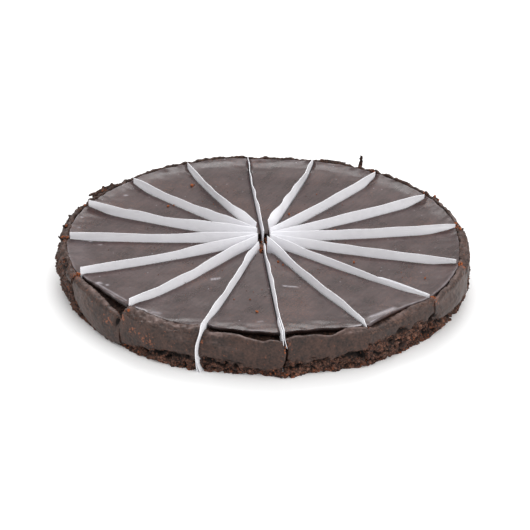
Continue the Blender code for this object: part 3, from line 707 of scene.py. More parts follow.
        # painted shade on the face under the edge
        final = add(tree, "ShaderNodeMix", {0: face, 6: lit.outputs[2], 7: linear(self.shaded)},
                    data_type="RGBA")  # fmt: skip
        tree.links.new(final.outputs[2], shader.inputs["Base Color"])
        sheen = add(tree, "ShaderNodeMapRange", {"Value": cloudy.outputs["Fac"], "From Min": 0.3,
                    "From Max": 0.7, "To Min": self.roughness - 0.06,
                    "To Max": self.roughness + 0.08})  # fmt: skip
        tree.links.new(sheen.outputs[0], shader.inputs["Roughness"])
        bump = add(tree, "ShaderNodeBump", {"Strength": self.relief, "Distance": self.relief_depth * MM,
                   "Height": mixed.outputs[0]})  # fmt: skip
        tree.links.new(bump.outputs["Normal"], shader.inputs["Normal"])
        return made


@dataclass(frozen=True)
class BakingPaper(Finish):
    """Thin glazed white paper: matt, faintly blue, with soft crinkles."""

    light: str = "#F9F9FC"
    dark: str = "#EEEDF2"
    crinkle: float = 5.0
    relief: float = 0.25
    relief_depth: float = 0.4

    def build(self) -> bpy.types.Material:
        """Make the material.

        Returns:
            The material.
        """
        made, tree, shader = self.begin()
        place = add(tree, "ShaderNodeTexCoord", {}).outputs["Object"]
        # crinkles five millimetres apart make the white faintly uneven
        crinkle = add(tree, "ShaderNodeTexNoise", {"Vector": place, "Scale": self.per(self.crinkle),
                      "Detail": 3.0})  # fmt: skip
        base = add(tree, "ShaderNodeMix", {0: crinkle.outputs["Fac"], 6: linear(self.dark),
                   7: linear(self.light)}, data_type="RGBA")  # fmt: skip
        tree.links.new(base.outputs[2], shader.inputs["Base Color"])
        bump = add(tree, "ShaderNodeBump", {"Strength": self.relief, "Distance": self.relief_depth * MM,
                   "Height": crinkle.outputs["Fac"]})  # fmt: skip
        tree.links.new(bump.outputs["Normal"], shader.inputs["Normal"])
        return made


def settle(piece: bpy.types.Object, slot: Slot, *nodes: str) -> bpy.types.Object:
    """Give a finished piece its body, and hide the nodes that it stands for.

    Args:
        piece: The piece.
        slot: Its material slot; not used.
        nodes: The nodes that it replaces.

    Returns:
        The same piece.
    """
    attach(piece, "root")
    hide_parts(*nodes)
    return piece


def named(name: str) -> bpy.types.Object:
    """Name the primitive that was just added.

    Args:
        name: The name of the object and of its mesh.

    Returns:
        The object.
    """
    made = bpy.context.object
    made.name = made.data.name = name
    return made


def smooth(made: bpy.types.Object) -> None:
    """Shade a piece smoothly but for its sharp folds."""
    made.data.shade_smooth()
    made.data.set_sharp_from_angle(angle=SHARP)


def tint(made: bpy.types.Object, broken: float, painted_shade: float, warm: float) -> None:
    """Give every point of a small piece of crumb the same looks.

    Args:
        made: The piece.
        broken: How broken it is, from 0 to 1.
        painted_shade: How deep in shadow it is.
        warm: How much orange-brown crumb it shows.
    """
    for look, strength in (("broken", broken), ("painted_shade", painted_shade), ("warm", warm), ("wear_and_highlight", 0.0)):
        values = [strength] * len(made.data.vertices)
        made.data.attributes.new(look, "FLOAT", "POINT").data.foreach_set("value", values)


@dataclass
class Wedge:
    """The room between two neighbouring cuts."""

    number: int
    squeeze: float = 0.72  # how much closer together the columns are at the cuts
    closes_early: float = 0.5  # the slit starts to close this far inside the paper's end
    closing: float = 2.5  # and is shut after this much more

    @property
    def rim(self) -> Rim:
        """The rim of this slice."""
        return RIMS[self.number - 1]

    @property
    def first(self) -> Cut:
        """The cut on the slice's first side."""
        return CUTS[self.number - 1]

    @property
    def second(self) -> Cut:
        """The cut on the slice's second side."""
        return CUTS[self.number % len(CUTS)]

    @property
    def opening(self) -> float:
        """Angle between the two cuts, in degrees."""
        return -turn_between(self.second.angle, self.first.angle)

    def share(self, column: int, columns: int) -> float:
        """How far across the wedge a column stands."""
        even = column / columns
        return even - self.squeeze * sin(tau * even) / tau

    def angle(self, share: float) -> float:
        """Direction of a column in degrees, leaving the slits out."""
        return self.first.angle - share * self.opening

    def width(self, radius: float) -> float:
        """Width of the wedge between its slits at a radius."""
        return radians(self.opening) * radius - 2 * HALF_SLIT

    def from_cut(self, share: float, radius: float) -> float:
        """Distance to the nearer cut."""
        return min(share, 1 - share) * self.width(radius)

    def half_slit(self, cut: Cut, radius: float) -> float:
        """Half the width of a slit: it closes where the paper ends."""
        past = clamp((radius - cut.outer + self.closes_early) / self.closing)
        return HALF_SLIT + (cut.shut - HALF_SLIT) * past

    def spot(self, share: float, radius: float, height: float) -> Vector:
        """Place of a point of the wedge.

        Args:
            share: How far across the wedge, from its first cut to its second.
            radius: Distance from the crossing of the cuts.
            height: Height over the table.

        Returns:
            The point, measured from the crossing of the cuts.
        """
        first, second = self.first, self.second
        start = radians(first.angle)
        start += asin((first.aside(radius, height) - self.half_slit(first, radius)) / radius)
        end = radians(first.angle - self.opening)
        end += asin((second.aside(radius, height) + self.half_slit(second, radius)) / radius)
        bearing = start + (end - start) * share
        return Vector((radius * cos(bearing), radius * sin(bearing), height))

    def edge(self, share: float) -> float:
        """Radius of the ganache's edge."""
        even = along(self.rim.ganache, share)
        return even + at(EDGES.get(self.number, LEVEL), share, 0.04)

    def dish(self, share: float, radius: float) -> float:
        """How far the dished top has risen at a radius.

        Args:
            share: How far across the wedge.
            radius: Distance from the crossing of the cuts.

        Returns:
            The rise: gentle at first, then steep close to the rim.
        """
        inwards = along(self.rim.ganache, share) - radius
        gentle = max(0.0, 1 - inwards / DISH_WIDTH) ** 2
        steep = max(0.0, 1 - inwards / BRIM_WIDTH) ** 2
        return along(self.rim.rise, share) * (gentle + steep) / 2

    def solid(
        self, name: str, section: Callable[[float], np.ndarray], looks: Sequence[str], columns: int
    ) -> "Spun":
        """Spin a section across the wedge, then give every column its own shape.

        Args:
            name: Name of the piece.
            section: Gives the points round the section by how far across it is: one row for
                each, with its radius, its height and the strength of each look.
            looks: Names of the looks, in the order of a row.
            columns: How many steps there are across the wedge.

        Returns:
            The finished wedge.
        """
        shares = [self.share(column, columns) for column in range(columns + 1)]
        rows = np.stack([section(share) for share in shares], axis=1)
        spun = self.spun(name, [(radius, height) for radius, height in rows[:, 0, :2]], columns)
        points = np.zeros((*rows.shape[:2], 3))
        for column, share in enumerate(shares):
            for row, (radius, height) in enumerate(rows[:, column, :2]):
                points[row, column] = self.spot(share, radius, height)
        spun.shape(points, {look: rows[:, :, 2 + index] for index, look in enumerate(looks)})
        return spun

    def spun(self, name: str, ring: Sequence[tuple[float, float]], columns: int) -> "Spun":
        """Turn a closed upright section about the crossing into a solid wedge.

        Args:
            name: Name of the piece.
            ring: Radius and height of the points round the section.
            columns: How many steps the turn takes.

        Returns:
            The wedge, whose points know their place in the ring and their column.
        """
        deselect_all()
        bpy.ops.mesh.primitive_circle_add(vertices=len(ring), fill_type="NGON")
        made = named(name)
        tags = made.data.attributes.new("row", "INT", "POINT")
        tags.data.foreach_set("value", np.arange(len(ring), dtype=np.int32))
        for vertex, (radius, height) in zip(made.data.vertices, ring):
            vertex.co = (radius * MM, 0.0, height * MM)
        bpy.ops.object.mode_set(mode="EDIT")
        bpy.ops.mesh.select_all(action="SELECT")
        bpy.ops.mesh.spin(steps=columns, angle=-radians(self.opening), center=(0, 0, 0), axis=(0, 0, 1))
        bpy.ops.mesh.select_all(action="SELECT")
        bpy.ops.mesh.normals_make_consistent(inside=False)
        bpy.ops.object.mode_set(mode="OBJECT")
        return Spun(made, columns, radians(self.opening))


@dataclass
class Spun:
    """A spun wedge and the place of each of its points in the section and across it."""

    thing: bpy.types.Object
    columns: int
    opening: float
    row: np.ndarray = field(init=False)
    column: np.ndarray = field(init=False)
    points: np.ndarray = field(init=False)
    looks: dict[str, np.ndarray] = field(init=False)

    def __post_init__(self) -> None:
        """Read each point's row and column."""
        mesh = self.thing.data
        count = len(mesh.vertices)
        self.row = np.empty(count, np.int32)
        mesh.attributes["row"].data.foreach_get("value", self.row)
        places = np.empty(count * 3, np.float32)
        mesh.vertices.foreach_get("co", places)
        places = places.reshape(-1, 3)
        turned = np.abs(np.arctan2(places[:, 1], places[:, 0]))
        self.column = np.rint(turned / self.opening * self.columns).astype(np.int32)
        mesh.attributes.remove(mesh.attributes["row"])

    def shape(self, points: np.ndarray, looks: dict[str, np.ndarray]) -> None:
        """Move every point to its place and note how it looks.

        Args:
            points: Places by row, column and axis, in millimetres from the crossing.
            looks: For each named look, its strength by row and column.
        """
        self.points, self.looks = points, looks
        mesh = self.thing.data
        places = (points[self.row, self.column] + np.array(CROSSING)) * MM
        mesh.vertices.foreach_set("co", places.astype(np.float32).ravel())
        for name, strength in looks.items():
            made = mesh.attributes.new(name, "FLOAT", "POINT")
            made.data.foreach_set("value", strength[self.row, self.column].astype(np.float32))
        smooth(self.thing)
        mesh.update()


@dataclass(frozen=True)
class Profile:
    """The main radii and heights of a slice at one column."""

    share: float  # how far across the slice the column stands
    angle: float  # its direction in degrees
    point: float  # radius of the blunt tip
    foot: float  # radius of the foot
    crust: float  # radius of the crust under its crest
    ridge: float  # radius of the crest's highest line
    inner: float  # radius of the crest's inner face
    ganache: float  # radius of the ganache's edge
    groove: float  # gap from there to the crest
    wider: float  # how much wider it is than a tight groove
    gaping: float  # 0 for a tight groove and 1 for one that gapes
    shoulder: float  # height where the side ends and the crest begins
    crest: float  # height of the crest
    rise: float  # how far the dished top rises at the rim

    @property
    def arc(self) -> float:
        """Its place along the side."""
        return radians(self.angle) * SIDE_RADIUS


@dataclass
class SliceOfCake:
    """One wedge of dense cake: a smooth baked crust over broken crumb."""

    wedge: Wedge
    columns: int = 128
    under_rows: int = 3
    side_rows: int = 64
    crest_rows: int = 15
    point_radius: float = 8.0
    belly: float = 1.5
    bevel: float = 0.9
    slope: float = 0.5  # how much lower the shoulder is for each millimetre of the crest
    steeper: float = 0.5  # what a narrow groove adds to that
    crest_width: float = 0.6
    wave_height: Triple = (0.5, 0.6, 0.5)  # always, more by a narrow groove, more where tattered
    tooth_height: Triple = (0.25, 0.4, 0.4)
    spike_height: float = 2.4
    spike_rarity: float = 0.2
    tattered_shadow: float = 0.35  # how deep the painted shade over a tattered slice's side and crest is
    open_groove: float = 2.0  # from this width on the crest doesn't follow the ganache's edge
    tight_groove: float = 0.6  # a groove up to this width has an even floor
    gaping_groove: float = 3.0  # and the lightest painted shade on its floor when it is this much wider still
    notch_depth: float = 1.8  # how far the crumb sits back under the smooth crust's edge
    notch_under: float = 1.5
    notch_tall: float = 1.2
    torn_away: float = 0.35
    pit_rarity: float = 0.08
    pit_depth: float = 7.0
    darkest_depth: float = 2.4
    seam_round: float = 1.1  # how far the side draws back at a cut
    seam_reach: float = 6.0
    seam_fade: float = 0.9
    crumb_blend: float = 0.45  # height over which smooth crust turns to crumb
    crumb_line: Ripple = Ripple(1.7, 7.0, 0.4, 4.4)
    crumb_teeth: Ripple = Ripple(0.9, 2.1, 0.7, 8.4)
    crumb_ledge: Ripple = Ripple(1.0, 6.5, 1.7, 15.5)
    waves: Grain = Grain(0.5, 14.0, 11.0, 3.1)
    crust: Grain = Grain(0.2, 3.3, 2.3, 5.2)
    fine: Grain = Grain(0.12, 1.1, 0.8, 7.7)
    frayed: Grain = Grain(0.5, 1.9, 1.9, 2.2)  # how uneven the edges of the deep holes are
    clods: Grain = Grain(1.5, 6.0, 4.5, 9.7)
    grains: Grain = Grain(0.75, 2.3, 1.9, 1.3)
    grit: Grain = Grain(0.35, 1.0, 0.9, 6.1)
    pits: Grain = Grain(1.0, 3.4, 2.3, 12.5)
    scuff_and_glint_patches: Grain = Grain(1.6, 1.8, 1.2, 25.0)
    scuff_and_glint_crest: Grain = Grain(1.2, 1.8, 1.0, 25.0)
    crest_waves: Ripple = Ripple(1.0, 5.5, 5.5, 0.0)
    crest_teeth: Ripple = Ripple(1.0, 1.9, 0.3, 3.3)
    crest_spikes: Ripple = Ripple(1.0, 2.8, 0.9, 6.3)
    crest_lumps: Grain = Grain(1.0, 3.3, 1.8, 4.1)
    crest_grains: Grain = Grain(1.0, 1.1, 0.9, 5.9)
    crest_shine: Ripple = Ripple(1.2, 4.0, 0.5, 23.0)
    inside_waves: Ripple = Ripple(1.0, 3.1, 0.2, 1.9)
    inside_teeth: Ripple = Ripple(1.0, 1.9, 0.6, 27.0)
    spun: Spun = field(init=False, repr=False)

    @property
    def tattered(self) -> float:
        """How rough the crest is, from 0 to 1."""
        return TATTERED.get(self.wedge.number, 0.0)

    @property
    def bare(self) -> float:
        """How much of the bare crumb's colour shows, from 0 to 1."""
        return BARE.get(self.wedge.number, 1.0)

    def broken(self, angle: float, share: float, height: float) -> tuple[float, float]:
        """How broken the side is at a place, and how far that is under the smooth crust.

        Args:
            angle: Direction in degrees.
            share: How far across the slice.
            height: Height over the table.

        Returns:
            Brokenness from 0 to 1, and the depth under the smooth crust's lower edge.
        """
        arc = radians(angle) * SIDE_RADIUS
        edge = along(self.wedge.rim.crumbly, share)
        edge += self.crumb_line.at(arc) + self.crumb_teeth.at(arc)
        under = edge - height
        if abs(under) < 20 * self.crumb_blend:  # past that the change is over
            return 1 / (1 + exp(-under / self.crumb_blend)), under
        return float(under > 0), under

    def relief(self, angle: float, share: float, height: float) -> tuple[float, float, float]:
        """Roughness of the side at a place.

        Args:
            angle: Direction in degrees.
            share: How far across the slice.
            height: Height over the table.

        Returns:
            What it adds to the radius, the brokenness and the painted shade in its cavities.
        """
        arc = radians(angle) * SIDE_RADIUS
        broken, under = self.broken(angle, share, height)
        soft = self.waves.at(arc, height)
        soft += self.crust.at(arc, height) * (1 - broken)
        soft += self.fine.at(arc, height)
        holes = pushed(HOLES, angle, height + self.frayed.at(arc, height))
        if broken < 0.01:
            return soft + holes * 0.6, broken, clamp(-holes - 0.9)
        clods, grains, grit = (kind.at(arc, height) for kind in (self.clods, self.grains, self.grit))
        pit = max(0.0, self.pits.at(arc, height) - self.pit_rarity) * self.pit_depth
        presence = 0.45 + 1.3 * max(0.0, self.crumb_ledge.at(arc) + 0.25)
        notch = self.notch_depth * presence * exp(-(((under - self.notch_under) / self.notch_tall) ** 2))
        added = soft + broken * (clods + grains + grit - self.torn_away - pit) - notch * broken + holes
        deep = notch * 0.8 + pit + max(0.0, -grains - grit) * 0.7 - holes
        return added, broken, broken * clamp(deep / self.darkest_depth)

    def drawn_back(self, share: float, height: float) -> float:
        """How far the side draws back close to a cut.

        Args:
            share: How far across the slice.
            height: Height over the table.

        Returns:
            The distance inwards.
        """
        near = self.wedge.from_cut(share, SIDE_RADIUS)
        if near > self.seam_reach:
            return 0.0
        cut = self.wedge.first if share < 0.5 else self.wedge.second
        worn = 1 + 0.9 * rough(height / 2.6, self.wedge.number * 3.7 + (share > 0.5), 2.9)
        return self.seam_round * (0.1 + cut.shut) * worn * exp(-near / self.seam_fade)

    def uneven(self, strength: Triple, narrow: float) -> float:
        """How uneven the crest is: always, more by a narrow groove, and more where tattered."""
        always, by_groove, torn = strength
        return always + by_groove * narrow + torn * self.tattered

    def profile(self, share: float) -> Profile:
        """Work out the slice's main radii and heights at one column.

        Args:
            share: How far across the slice.

        Returns:
            The column's profile.
        """
        rim, angle = self.wedge.rim, self.wedge.angle(share)
        arc = radians(angle) * SIDE_RADIUS
        ganache, groove, rise = (along(three, share) for three in (rim.ganache, rim.groove, rim.rise))
        foot, crust = along(rim.foot, share), along(rim.crust, share)
        narrow = clamp(1 - groove / self.open_groove)
        wider = max(0.0, groove - self.tight_groove)
        gaping = min(1.0, wider / self.gaping_groove)
        ganache += narrow * (self.wedge.edge(share) - ganache)

        # the crest: its height, its inner face and the shoulder where the side ends
        ragged = self.uneven(self.wave_height, narrow) * self.crest_waves.at(arc)
        ragged += self.uneven(self.tooth_height, narrow) * self.crest_teeth.at(arc)
        spike = max(0.0, self.crest_spikes.at(arc) - self.spike_rarity)
        ragged += self.spike_height * self.tattered * spike
        smooth_crest = CAKE_HEIGHT + rise + along(rim.crest, share)
        smooth_crest += at(LIPS.get(self.wedge.number, LEVEL), share, 0.03)
        smooth_crest -= 0.5 * self.drawn_back(share, CAKE_HEIGHT)
        inner = ganache + groove + 0.5 * gaping * self.inside_waves.at(arc)
        inner += (0.3 + self.tattered) * 1.2 * self.inside_teeth.at(arc)
        ridge = inner + self.crest_width
        slope = self.slope + self.steeper * narrow * (1 - self.tattered) * (sin(radians(angle)) > -0.3)
        return Profile(
            share=share,
            angle=angle,
            point=self.point_radius + 1.2 * rough(share * 3, angle, 2.0),
            foot=foot,
            crust=crust,
            ridge=ridge,
            inner=inner,
            ganache=ganache,
            groove=groove,
            wider=wider,
            gaping=gaping,
            shoulder=smooth_crest - self.bevel - slope * max(0.0, crust - ridge),
            crest=smooth_crest + ragged,
            rise=rise,
        )

    def side(self, line: Profile) -> list[Row]:
        """The side, from the foot up to the shoulder.

        Args:
            line: The column's profile.

        Returns:
            Its points, from the bottom up.
        """
        rows = []
        for row in range(self.side_rows):
            up = row / (self.side_rows - 1)
            height = up * line.shoulder
            straight = line.foot * (1 - up) + line.crust * up
            bulge = self.belly * sin(pi * up**0.8) + pushed(SWELLINGS, line.angle, height)
            added, broken, painted_shade = self.relief(line.angle, line.share, height)
            outer = straight + bulge + added - self.drawn_back(line.share, height)
            # scuffed pale places and painted glints, in patches
            worn = max(0.0, 0.7 + self.scuff_and_glint_patches.at(line.arc, height))
            worn *= pushed(PALE_SCUFFS_AND_GLINTS, line.angle, height)
            # painted shade over the whole side of a tattered slice
            painted_shade = max(painted_shade, self.tattered_shadow * self.tattered)
            rows.append((outer, height, broken * self.bare, painted_shade, worn))
        return rows

    def over_crest(self, line: Profile, outer: float) -> list[Row]:
        """From the shoulder up to the ridge of the crest, which is rounder where it is wide.

        Args:
            line: The column's profile.
            outer: Radius where the side ends.

        Returns:
            Its points, from the outside in.
        """
        outer = max(outer, line.ridge + SEAT_GAP)
        width = max(0.0, line.crust - line.ridge)
        rounding = 2 / (1.25 + 0.75 * exp(-width / 3))
        rugged = 0.6 * self.tattered + 0.4 * clamp(-line.groove / 0.5)
        rows = []
        for row in range(1, self.crest_rows + 1):
            over = row / self.crest_rows
            slant = over * (width + 2)
            lump = (0.4 + 1.3 * rugged) * self.crest_lumps.at(line.arc, slant)
            lump += (0.25 + 0.7 * rugged) * self.crest_grains.at(line.arc, slant)
            lump *= sin(pi * over) ** 0.6
            radius = outer + (line.ridge - outer) * (1 - cos(over * pi / 2) ** rounding)
            height = line.shoulder + (line.crest - line.shoulder) * sin(over * pi / 2) ** rounding
            # a painted highlight along the crest's ridge, fainter where it is tattered, with scuffs and
            # painted glints on top
            pale = (1 - self.tattered) ** 2 * exp(-(((over - 0.75) / 0.2) ** 2))
            pale = max(0.0, pale * (0.9 + self.crest_shine.at(line.arc)))
            worn = max(0.0, 0.8 + self.scuff_and_glint_crest.at(line.arc, slant))
            pale += pushed(PALE_SCUFFS_AND_GLINTS, line.angle, height) * worn
            # painted shade on a tattered crest and between its lumps
            painted_shade = self.tattered_shadow * self.tattered + max(0.0, -lump - 0.15) * 0.7
            rows.append((radius + lump * 0.6, height + lump, self.tattered * self.bare, painted_shade, pale))
        return rows

    def into_groove(self, line: Profile) -> list[Row]:
        """Down into the groove, which is deeper and has lighter painted shade where it is wider.

        Args:
            line: The column's profile.

        Returns:
            Its points, down to the ganache's edge.
        """
        shadow = 0.5 - 0.15 * line.gaping
        floor = line.ganache + SEAT_GAP + 0.35 * line.wider
        floor_height = min(SEAT_HEIGHT + line.rise - 0.45 * line.wider, line.crest - 1.2 * line.wider)
        rows = []
        for down in (0.1, 0.35, 0.65, 0.9):
            wobble = 0.25 * rough(line.arc / 1.6, down * 3, 7.1)
            radius = line.inner + (floor - line.inner) * down**2 + wobble
            height = line.crest - 0.25 + (floor_height - line.crest + 0.25) * down
            rows.append((radius, height, 0.4, (0.2 + down * 0.8) * shadow, 0.0))
        return [*rows, (floor, floor_height, 0.5, shadow, 0.0)]

    def seat_and_tip(self, line: Profile) -> list[Row]:
        """The seat under the ganache, and down the blunt tip.

        Args:
            line: The column's profile.

        Returns:
            Its points, from the rim to the foot of the tip.
        """
        rows = []
        # painted shade on the seat, and less of it down the tip
        for part in (0.5, 1.0):
            radius = line.ganache - DISH_WIDTH * part
            rows.append((radius, SEAT_HEIGHT + self.wedge.dish(line.share, radius), 0.6, 0.6, 0.0))
        for up in (1.0, 0.75, 0.5, 0.25):
            wobble = 0.7 * rough(line.share * 4, up * 5, 3.3)
            radius = line.point + 0.8 * up + wobble * (up < 1)
            rows.append((radius, SEAT_HEIGHT * up, 1.0, 0.4, 0.0))
        return rows

    def section(self, share: float) -> np.ndarray:
        """The points round the slice's section at one column.

        Args:
            share: How far across the slice.

        Returns:
            One row for each point: radius, height, brokenness, painted shade, painted highlight
            and scuffs, and how warm the crumb is.
        """
        line = self.profile(share)
        underside = (line.point, line.point * 0.6 + line.foot * 0.4, line.foot - 6)
        # painted shade on the underside
        rows = [(radius, 0.0, 1.0, 0.3, 0.0) for radius in underside]
        rows += self.side(line)
        rows += self.over_crest(line, rows[-1][0])
        rows += self.into_groove(line)
        rows += self.seat_and_tip(line)
        ring = np.array(rows)
        return np.column_stack([ring, self.warmth(line.angle, ring[:, 0], ring[:, 1])])

    @staticmethod
    def warmth(angle: float, radius: np.ndarray, height: np.ndarray) -> np.ndarray:
        """Where orange-brown crumb shows: low down, at some cuts and in patches.

        Args:
            angle: Direction in degrees.
            radius: Radius of each point of the column.
            height: Height of each point.

        Returns:
            Warmth of each point from 0 to 1.
        """
        arc = radians(angle) * SIDE_RADIUS
        patch = max(0.0, rough(arc / 5, 0.0, 21.0) + 0.2)
        low = np.clip((5.0 - height) / 5.0, 0.0, 1.0) * (0.1 + 1.7 * patch)
        spots = np.array([pushed(WARM, angle, up) for up in height])
        return np.clip(low + spots, 0.0, 1.0) * (radius > 100)

    def build(self) -> bpy.types.Object:
        """Model the slice.

        Returns:
            The finished piece.
        """
        number = self.wedge.number
        looks = ("broken", "painted_shade", "wear_and_highlight", "warm")
        self.spun = self.wedge.solid(f"cake_slice_{number:02d}", self.section, looks, self.columns)
        return settle(self.spun.thing, Slot.CRUMB, f"slice_{number:02d}")

    def lodged(self, look: str, count: int, chance: Random) -> list[Vector]:
        """Places on the side where crumbs have lodged.

        Args:
            look: The look that draws them: the stronger it is, the more crumbs there are.
            count: How many there would be where the whole side had that look.
            chance: What draws the places.

        Returns:
            Places on the side, measured from the crossing.
        """
        side = slice(self.under_rows, self.under_rows + self.side_rows)
        looks = {name: strength[side] for name, strength in self.spun.looks.items()}
        strength = looks[look] * (looks["broken"] > 0.5 * self.bare)
        strength = strength * (1 - 0.95 * looks["painted_shade"])
        found = []
        for _ in range(count):
            row, column = chance.randrange(self.side_rows), chance.randrange(self.columns + 1)
            if chance.random() < strength[row, column]:
                found.append(Vector(self.spun.points[side][row, column]))
        return found


@dataclass(frozen=True)
class Streak:
    """A pale smear or a soft fold on the ganache, from one place to another; on a fold the paleness is a
    painted highlight.
    """

    start: tuple[float, float]
    end: tuple[float, float]
    width: float
    pale: float
    lift: float = 0.0


STREAKS: dict[int, tuple[Streak, ...]] = {
    7: (
        Streak((61.5, -94.0), (75.0, -83.5), 1.4, 0.45, 0.5),
        Streak((62.0, -99.0), (76.0, -86.5), 1.1, 0.4, 0.5),
        Streak((62.0, -103.0), (73.0, -92.0), 1.8, 0.6, 0.6),
        Streak((87.5, -77.5), (89.0, -76.8), 0.8, 0.9),
        Streak((91.6, -75.2), (92.4, -74.8), 0.7, 0.8),
    ),
    8: (
        Streak((12.6, -56.0), (21.4, -57.0), 0.6, 0.8),
        Streak((46.0, -107.0), (57.0, -103.0), 1.0, 0.5),
    ),
    9: (Streak((-1.5, -101.0), (1.0, -100.0), 0.7, 0.4),),
    10: (
        Streak((-31.5, -48.8), (-26.5, -47.8), 0.7, 0.9),
        Streak((-74.0, -86.0), (-68.0, -89.5), 0.8, 0.5),
        Streak((-64.0, -91.0), (-60.0, -92.5), 1.4, 0.4),
    ),
    11: (
        Streak((-97.8, -56.5), (-96.4, -56.8), 0.9, 0.9),
        Streak((-92.6, -58.9), (-91.6, -59.1), 0.7, 0.7),
        Streak((-99.5, -56.5), (-79.0, -79.5), 0.6, 0.45),
    ),
    12: (
        Streak((-107.0, -1.6), (-106.4, -1.8), 0.7, 0.8),
        Streak((-100.6, -5.9), (-100.0, -6.0), 0.6, 0.5),
        # a wide faint painted highlight near the left rim
        Streak((-112.0, -3.0), (-113.0, -30.0), 7.0, 0.06),
    ),
    13: (
        Streak((-115.0, 28.0), (-114.4, 28.4), 0.7, 0.6),
        Streak((-115.8, 14.0), (-115.0, 14.0), 0.6, 0.6),
    ),
    14: (
        Streak((-89.6, 62.4), (-89.0, 62.6), 0.8, 0.8),
        Streak((-86.0, 43.5), (-85.4, 43.5), 0.7, 0.6),
    ),
}

# The ganache of these slices stops further from the middle than that of the others
POINT_RADIUS = 11.0
POINT_RADII = {8: 15.5, 9: 15.5}

# How dark the painted shade on the face under the ganache's edge is where it hangs over as a fold
FACE_SHADE_DARKNESS = {7: 0.3, 10: 0.3, 6: 0.6}


@dataclass
class GanacheSheet:
    """The sheet of ganache on one slice: poured, spread and set, with a soft edge."""

    wedge: Wedge
    columns: int = 46
    top_rows: int = 84
    reach: float = 9.0  # how far in from the edge it starts to sink
    dip: float = 0.45  # the top is this much lower half way out
    dip_start: float = 25.0
    dip_width: float = 75.0
    seam_drop: float = 0.45  # how far the edge along a cut is rounded down
    seam_width: float = 1.7
    brim_lift: float = 4.2  # where the brim is steep the knife drew it up by this many times that
    brim_inside: float = 5.0  # the lift is highest this far from the ganache's edge
    brim_width: float = 8.0
    full_rise: float = 4.0  # rise of the highest brim
    corner_round: float = 1.1  # how far the edge draws back at a cut
    corner_width: float = 2.4
    swell: Grain = Grain(0.14, 13.0, 13.0, 1.0)
    unevenness: Grain = Grain(0.05, 4.0, 4.0, 2.0)
    rumple: Grain = Grain(0.45, 6.0, 4.0, 11.0)  # close to the rim
    rumple_fade: float = 7.0
    edge_waves: Ripple = Ripple(0.35, 4.5, 0.2, 8.8)
    edge_teeth: Ripple = Ripple(0.14, 1.4, 0.5, 2.8)
    back_highlight: float = 0.12  # how pale the painted highlight inside the back rim is
    back_highlight_inside: float = 4.2  # the painted highlight is palest this far from the ganache's edge
    back_highlight_width: float = 3.4
    back_highlight_patches: Grain = Grain(1.3, 6.0, 5.0, 31.0)
    back_highlight_flecks: Grain = Grain(0.8, 2.0, 2.0, 33.0)

    @property
    def point_radius(self) -> float:
        """Where its tip stops."""
        return POINT_RADII.get(self.wedge.number, POINT_RADIUS)

    def level(self, share: float, radius: float) -> float:
        """Height of the top of the ganache.

        Args:
            share: How far across the slice.
            radius: Distance from the crossing.

        Returns:
            Height over the table.
        """
        rim, angle = self.wedge.rim, self.wedge.angle(share)
        edge = self.wedge.edge(share)
        x, y = radius * cos(radians(angle)), radius * sin(radians(angle))
        sag = along(rim.droop, share) * max(0.0, 1 - (edge - radius) / self.reach) ** 2
        dip = self.dip * sin(pi * clamp((radius - self.dip_start) / self.dip_width))
        soft = self.swell.at(x, y) + self.unevenness.at(x, y)
        soft += self.rumple.at(x, y) * exp(-(edge - radius) / self.rumple_fade) * (radius < edge)
        brim = exp(-(((edge - radius - self.brim_inside) / self.brim_width) ** 2))
        brim *= min(1.0, along(rim.rise, share) / self.full_rise)
        seam = max(0.0, 1 - self.wedge.from_cut(share, radius) / self.seam_width) ** 2
        rounded = self.seam_drop * (1 - self.brim_lift * brim) * seam
        folds = sum(streak.lift * self.smear(streak, x, y) for streak in self.streaks)
        return CAKE_HEIGHT + self.wedge.dish(share, radius) - sag - dip + soft - rounded + folds

    @property
    def streaks(self) -> tuple[Streak, ...]:
        """The smears and folds on this slice."""
        return STREAKS.get(self.wedge.number, ())

    @staticmethod
    def smear(streak: Streak, x: float, y: float) -> float:
        """Strength of a smear at a place, from 0 to 1.

        Args:
            streak: The smear.
            x: Place from the crossing, to the right.
            y: Place from the crossing, to the back.

        Returns:
            Its strength there.
        """
        (x0, y0), (x1, y1) = streak.start, streak.end
        length = hypot(x1 - x0, y1 - y0)
        along_x, along_y = (x1 - x0) / length, (y1 - y0) / length
        forward = (x - x0) * along_x + (y - y0) * along_y
        across = (y - y0) * along_x - (x - x0) * along_y
        past = max(0.0, -forward, forward - length)
        reach = (across**2 + past**2) / streak.width**2
        return exp(-reach) if reach < 9 else 0.0

    def section(self, share: float) -> np.ndarray:
        """The points round the sheet's section at one column.

        Args:
            share: How far across the slice.

        Returns:
            One row for each point: radius, height, paleness, the painted highlight along the edge and the
                painted shade on the face.
        """
        rim, angle = self.wedge.rim, self.wedge.angle(share)
        arc = radians(angle) * SIDE_RADIUS
        edge = self.wedge.edge(share) + (self.edge_waves.at(arc) + self.edge_teeth.at(arc))
        near = self.wedge.from_cut(share, edge)
        edge -= self.corner_round * max(0.0, 1 - near / self.corner_width) ** 2
        rise, foot = along(rim.rise, share), CAKE_HEIGHT - GANACHE_THICKNESS
        point = self.point_radius + 1.2 * rough(share * 2, angle, 7.0)

        # the underside, and the face under the edge, in painted shade, with the edge's painted highlight
        # growing towards its top
        rows: list[Row] = [(point, foot, 0.0, 0.0, 1.0)]
        for part in (1.0, 0.5):
            radius = edge - DISH_WIDTH * part
            rows.append((radius, foot + self.wedge.dish(share, radius), 0.0, 0.0, 1.0))
        rows.append((edge - 0.4, foot + rise, 0.0, 0.0, 1.0))
        crown = self.level(share, edge - 1.3)
        darkness = FACE_SHADE_DARKNESS.get(self.wedge.number, 1.0)
        for up in (0.3, 0.55, 0.75, 0.9, 1.0):
            height = foot + rise + (crown - 0.12 - foot - rise) * up
            lean = 0.35 * up**3 + 0.1 * rough(arc / 2, up * 2, 9.1)
            rows.append((edge - lean, height, 0.0, up**4, darkness * (1 - up**6)))

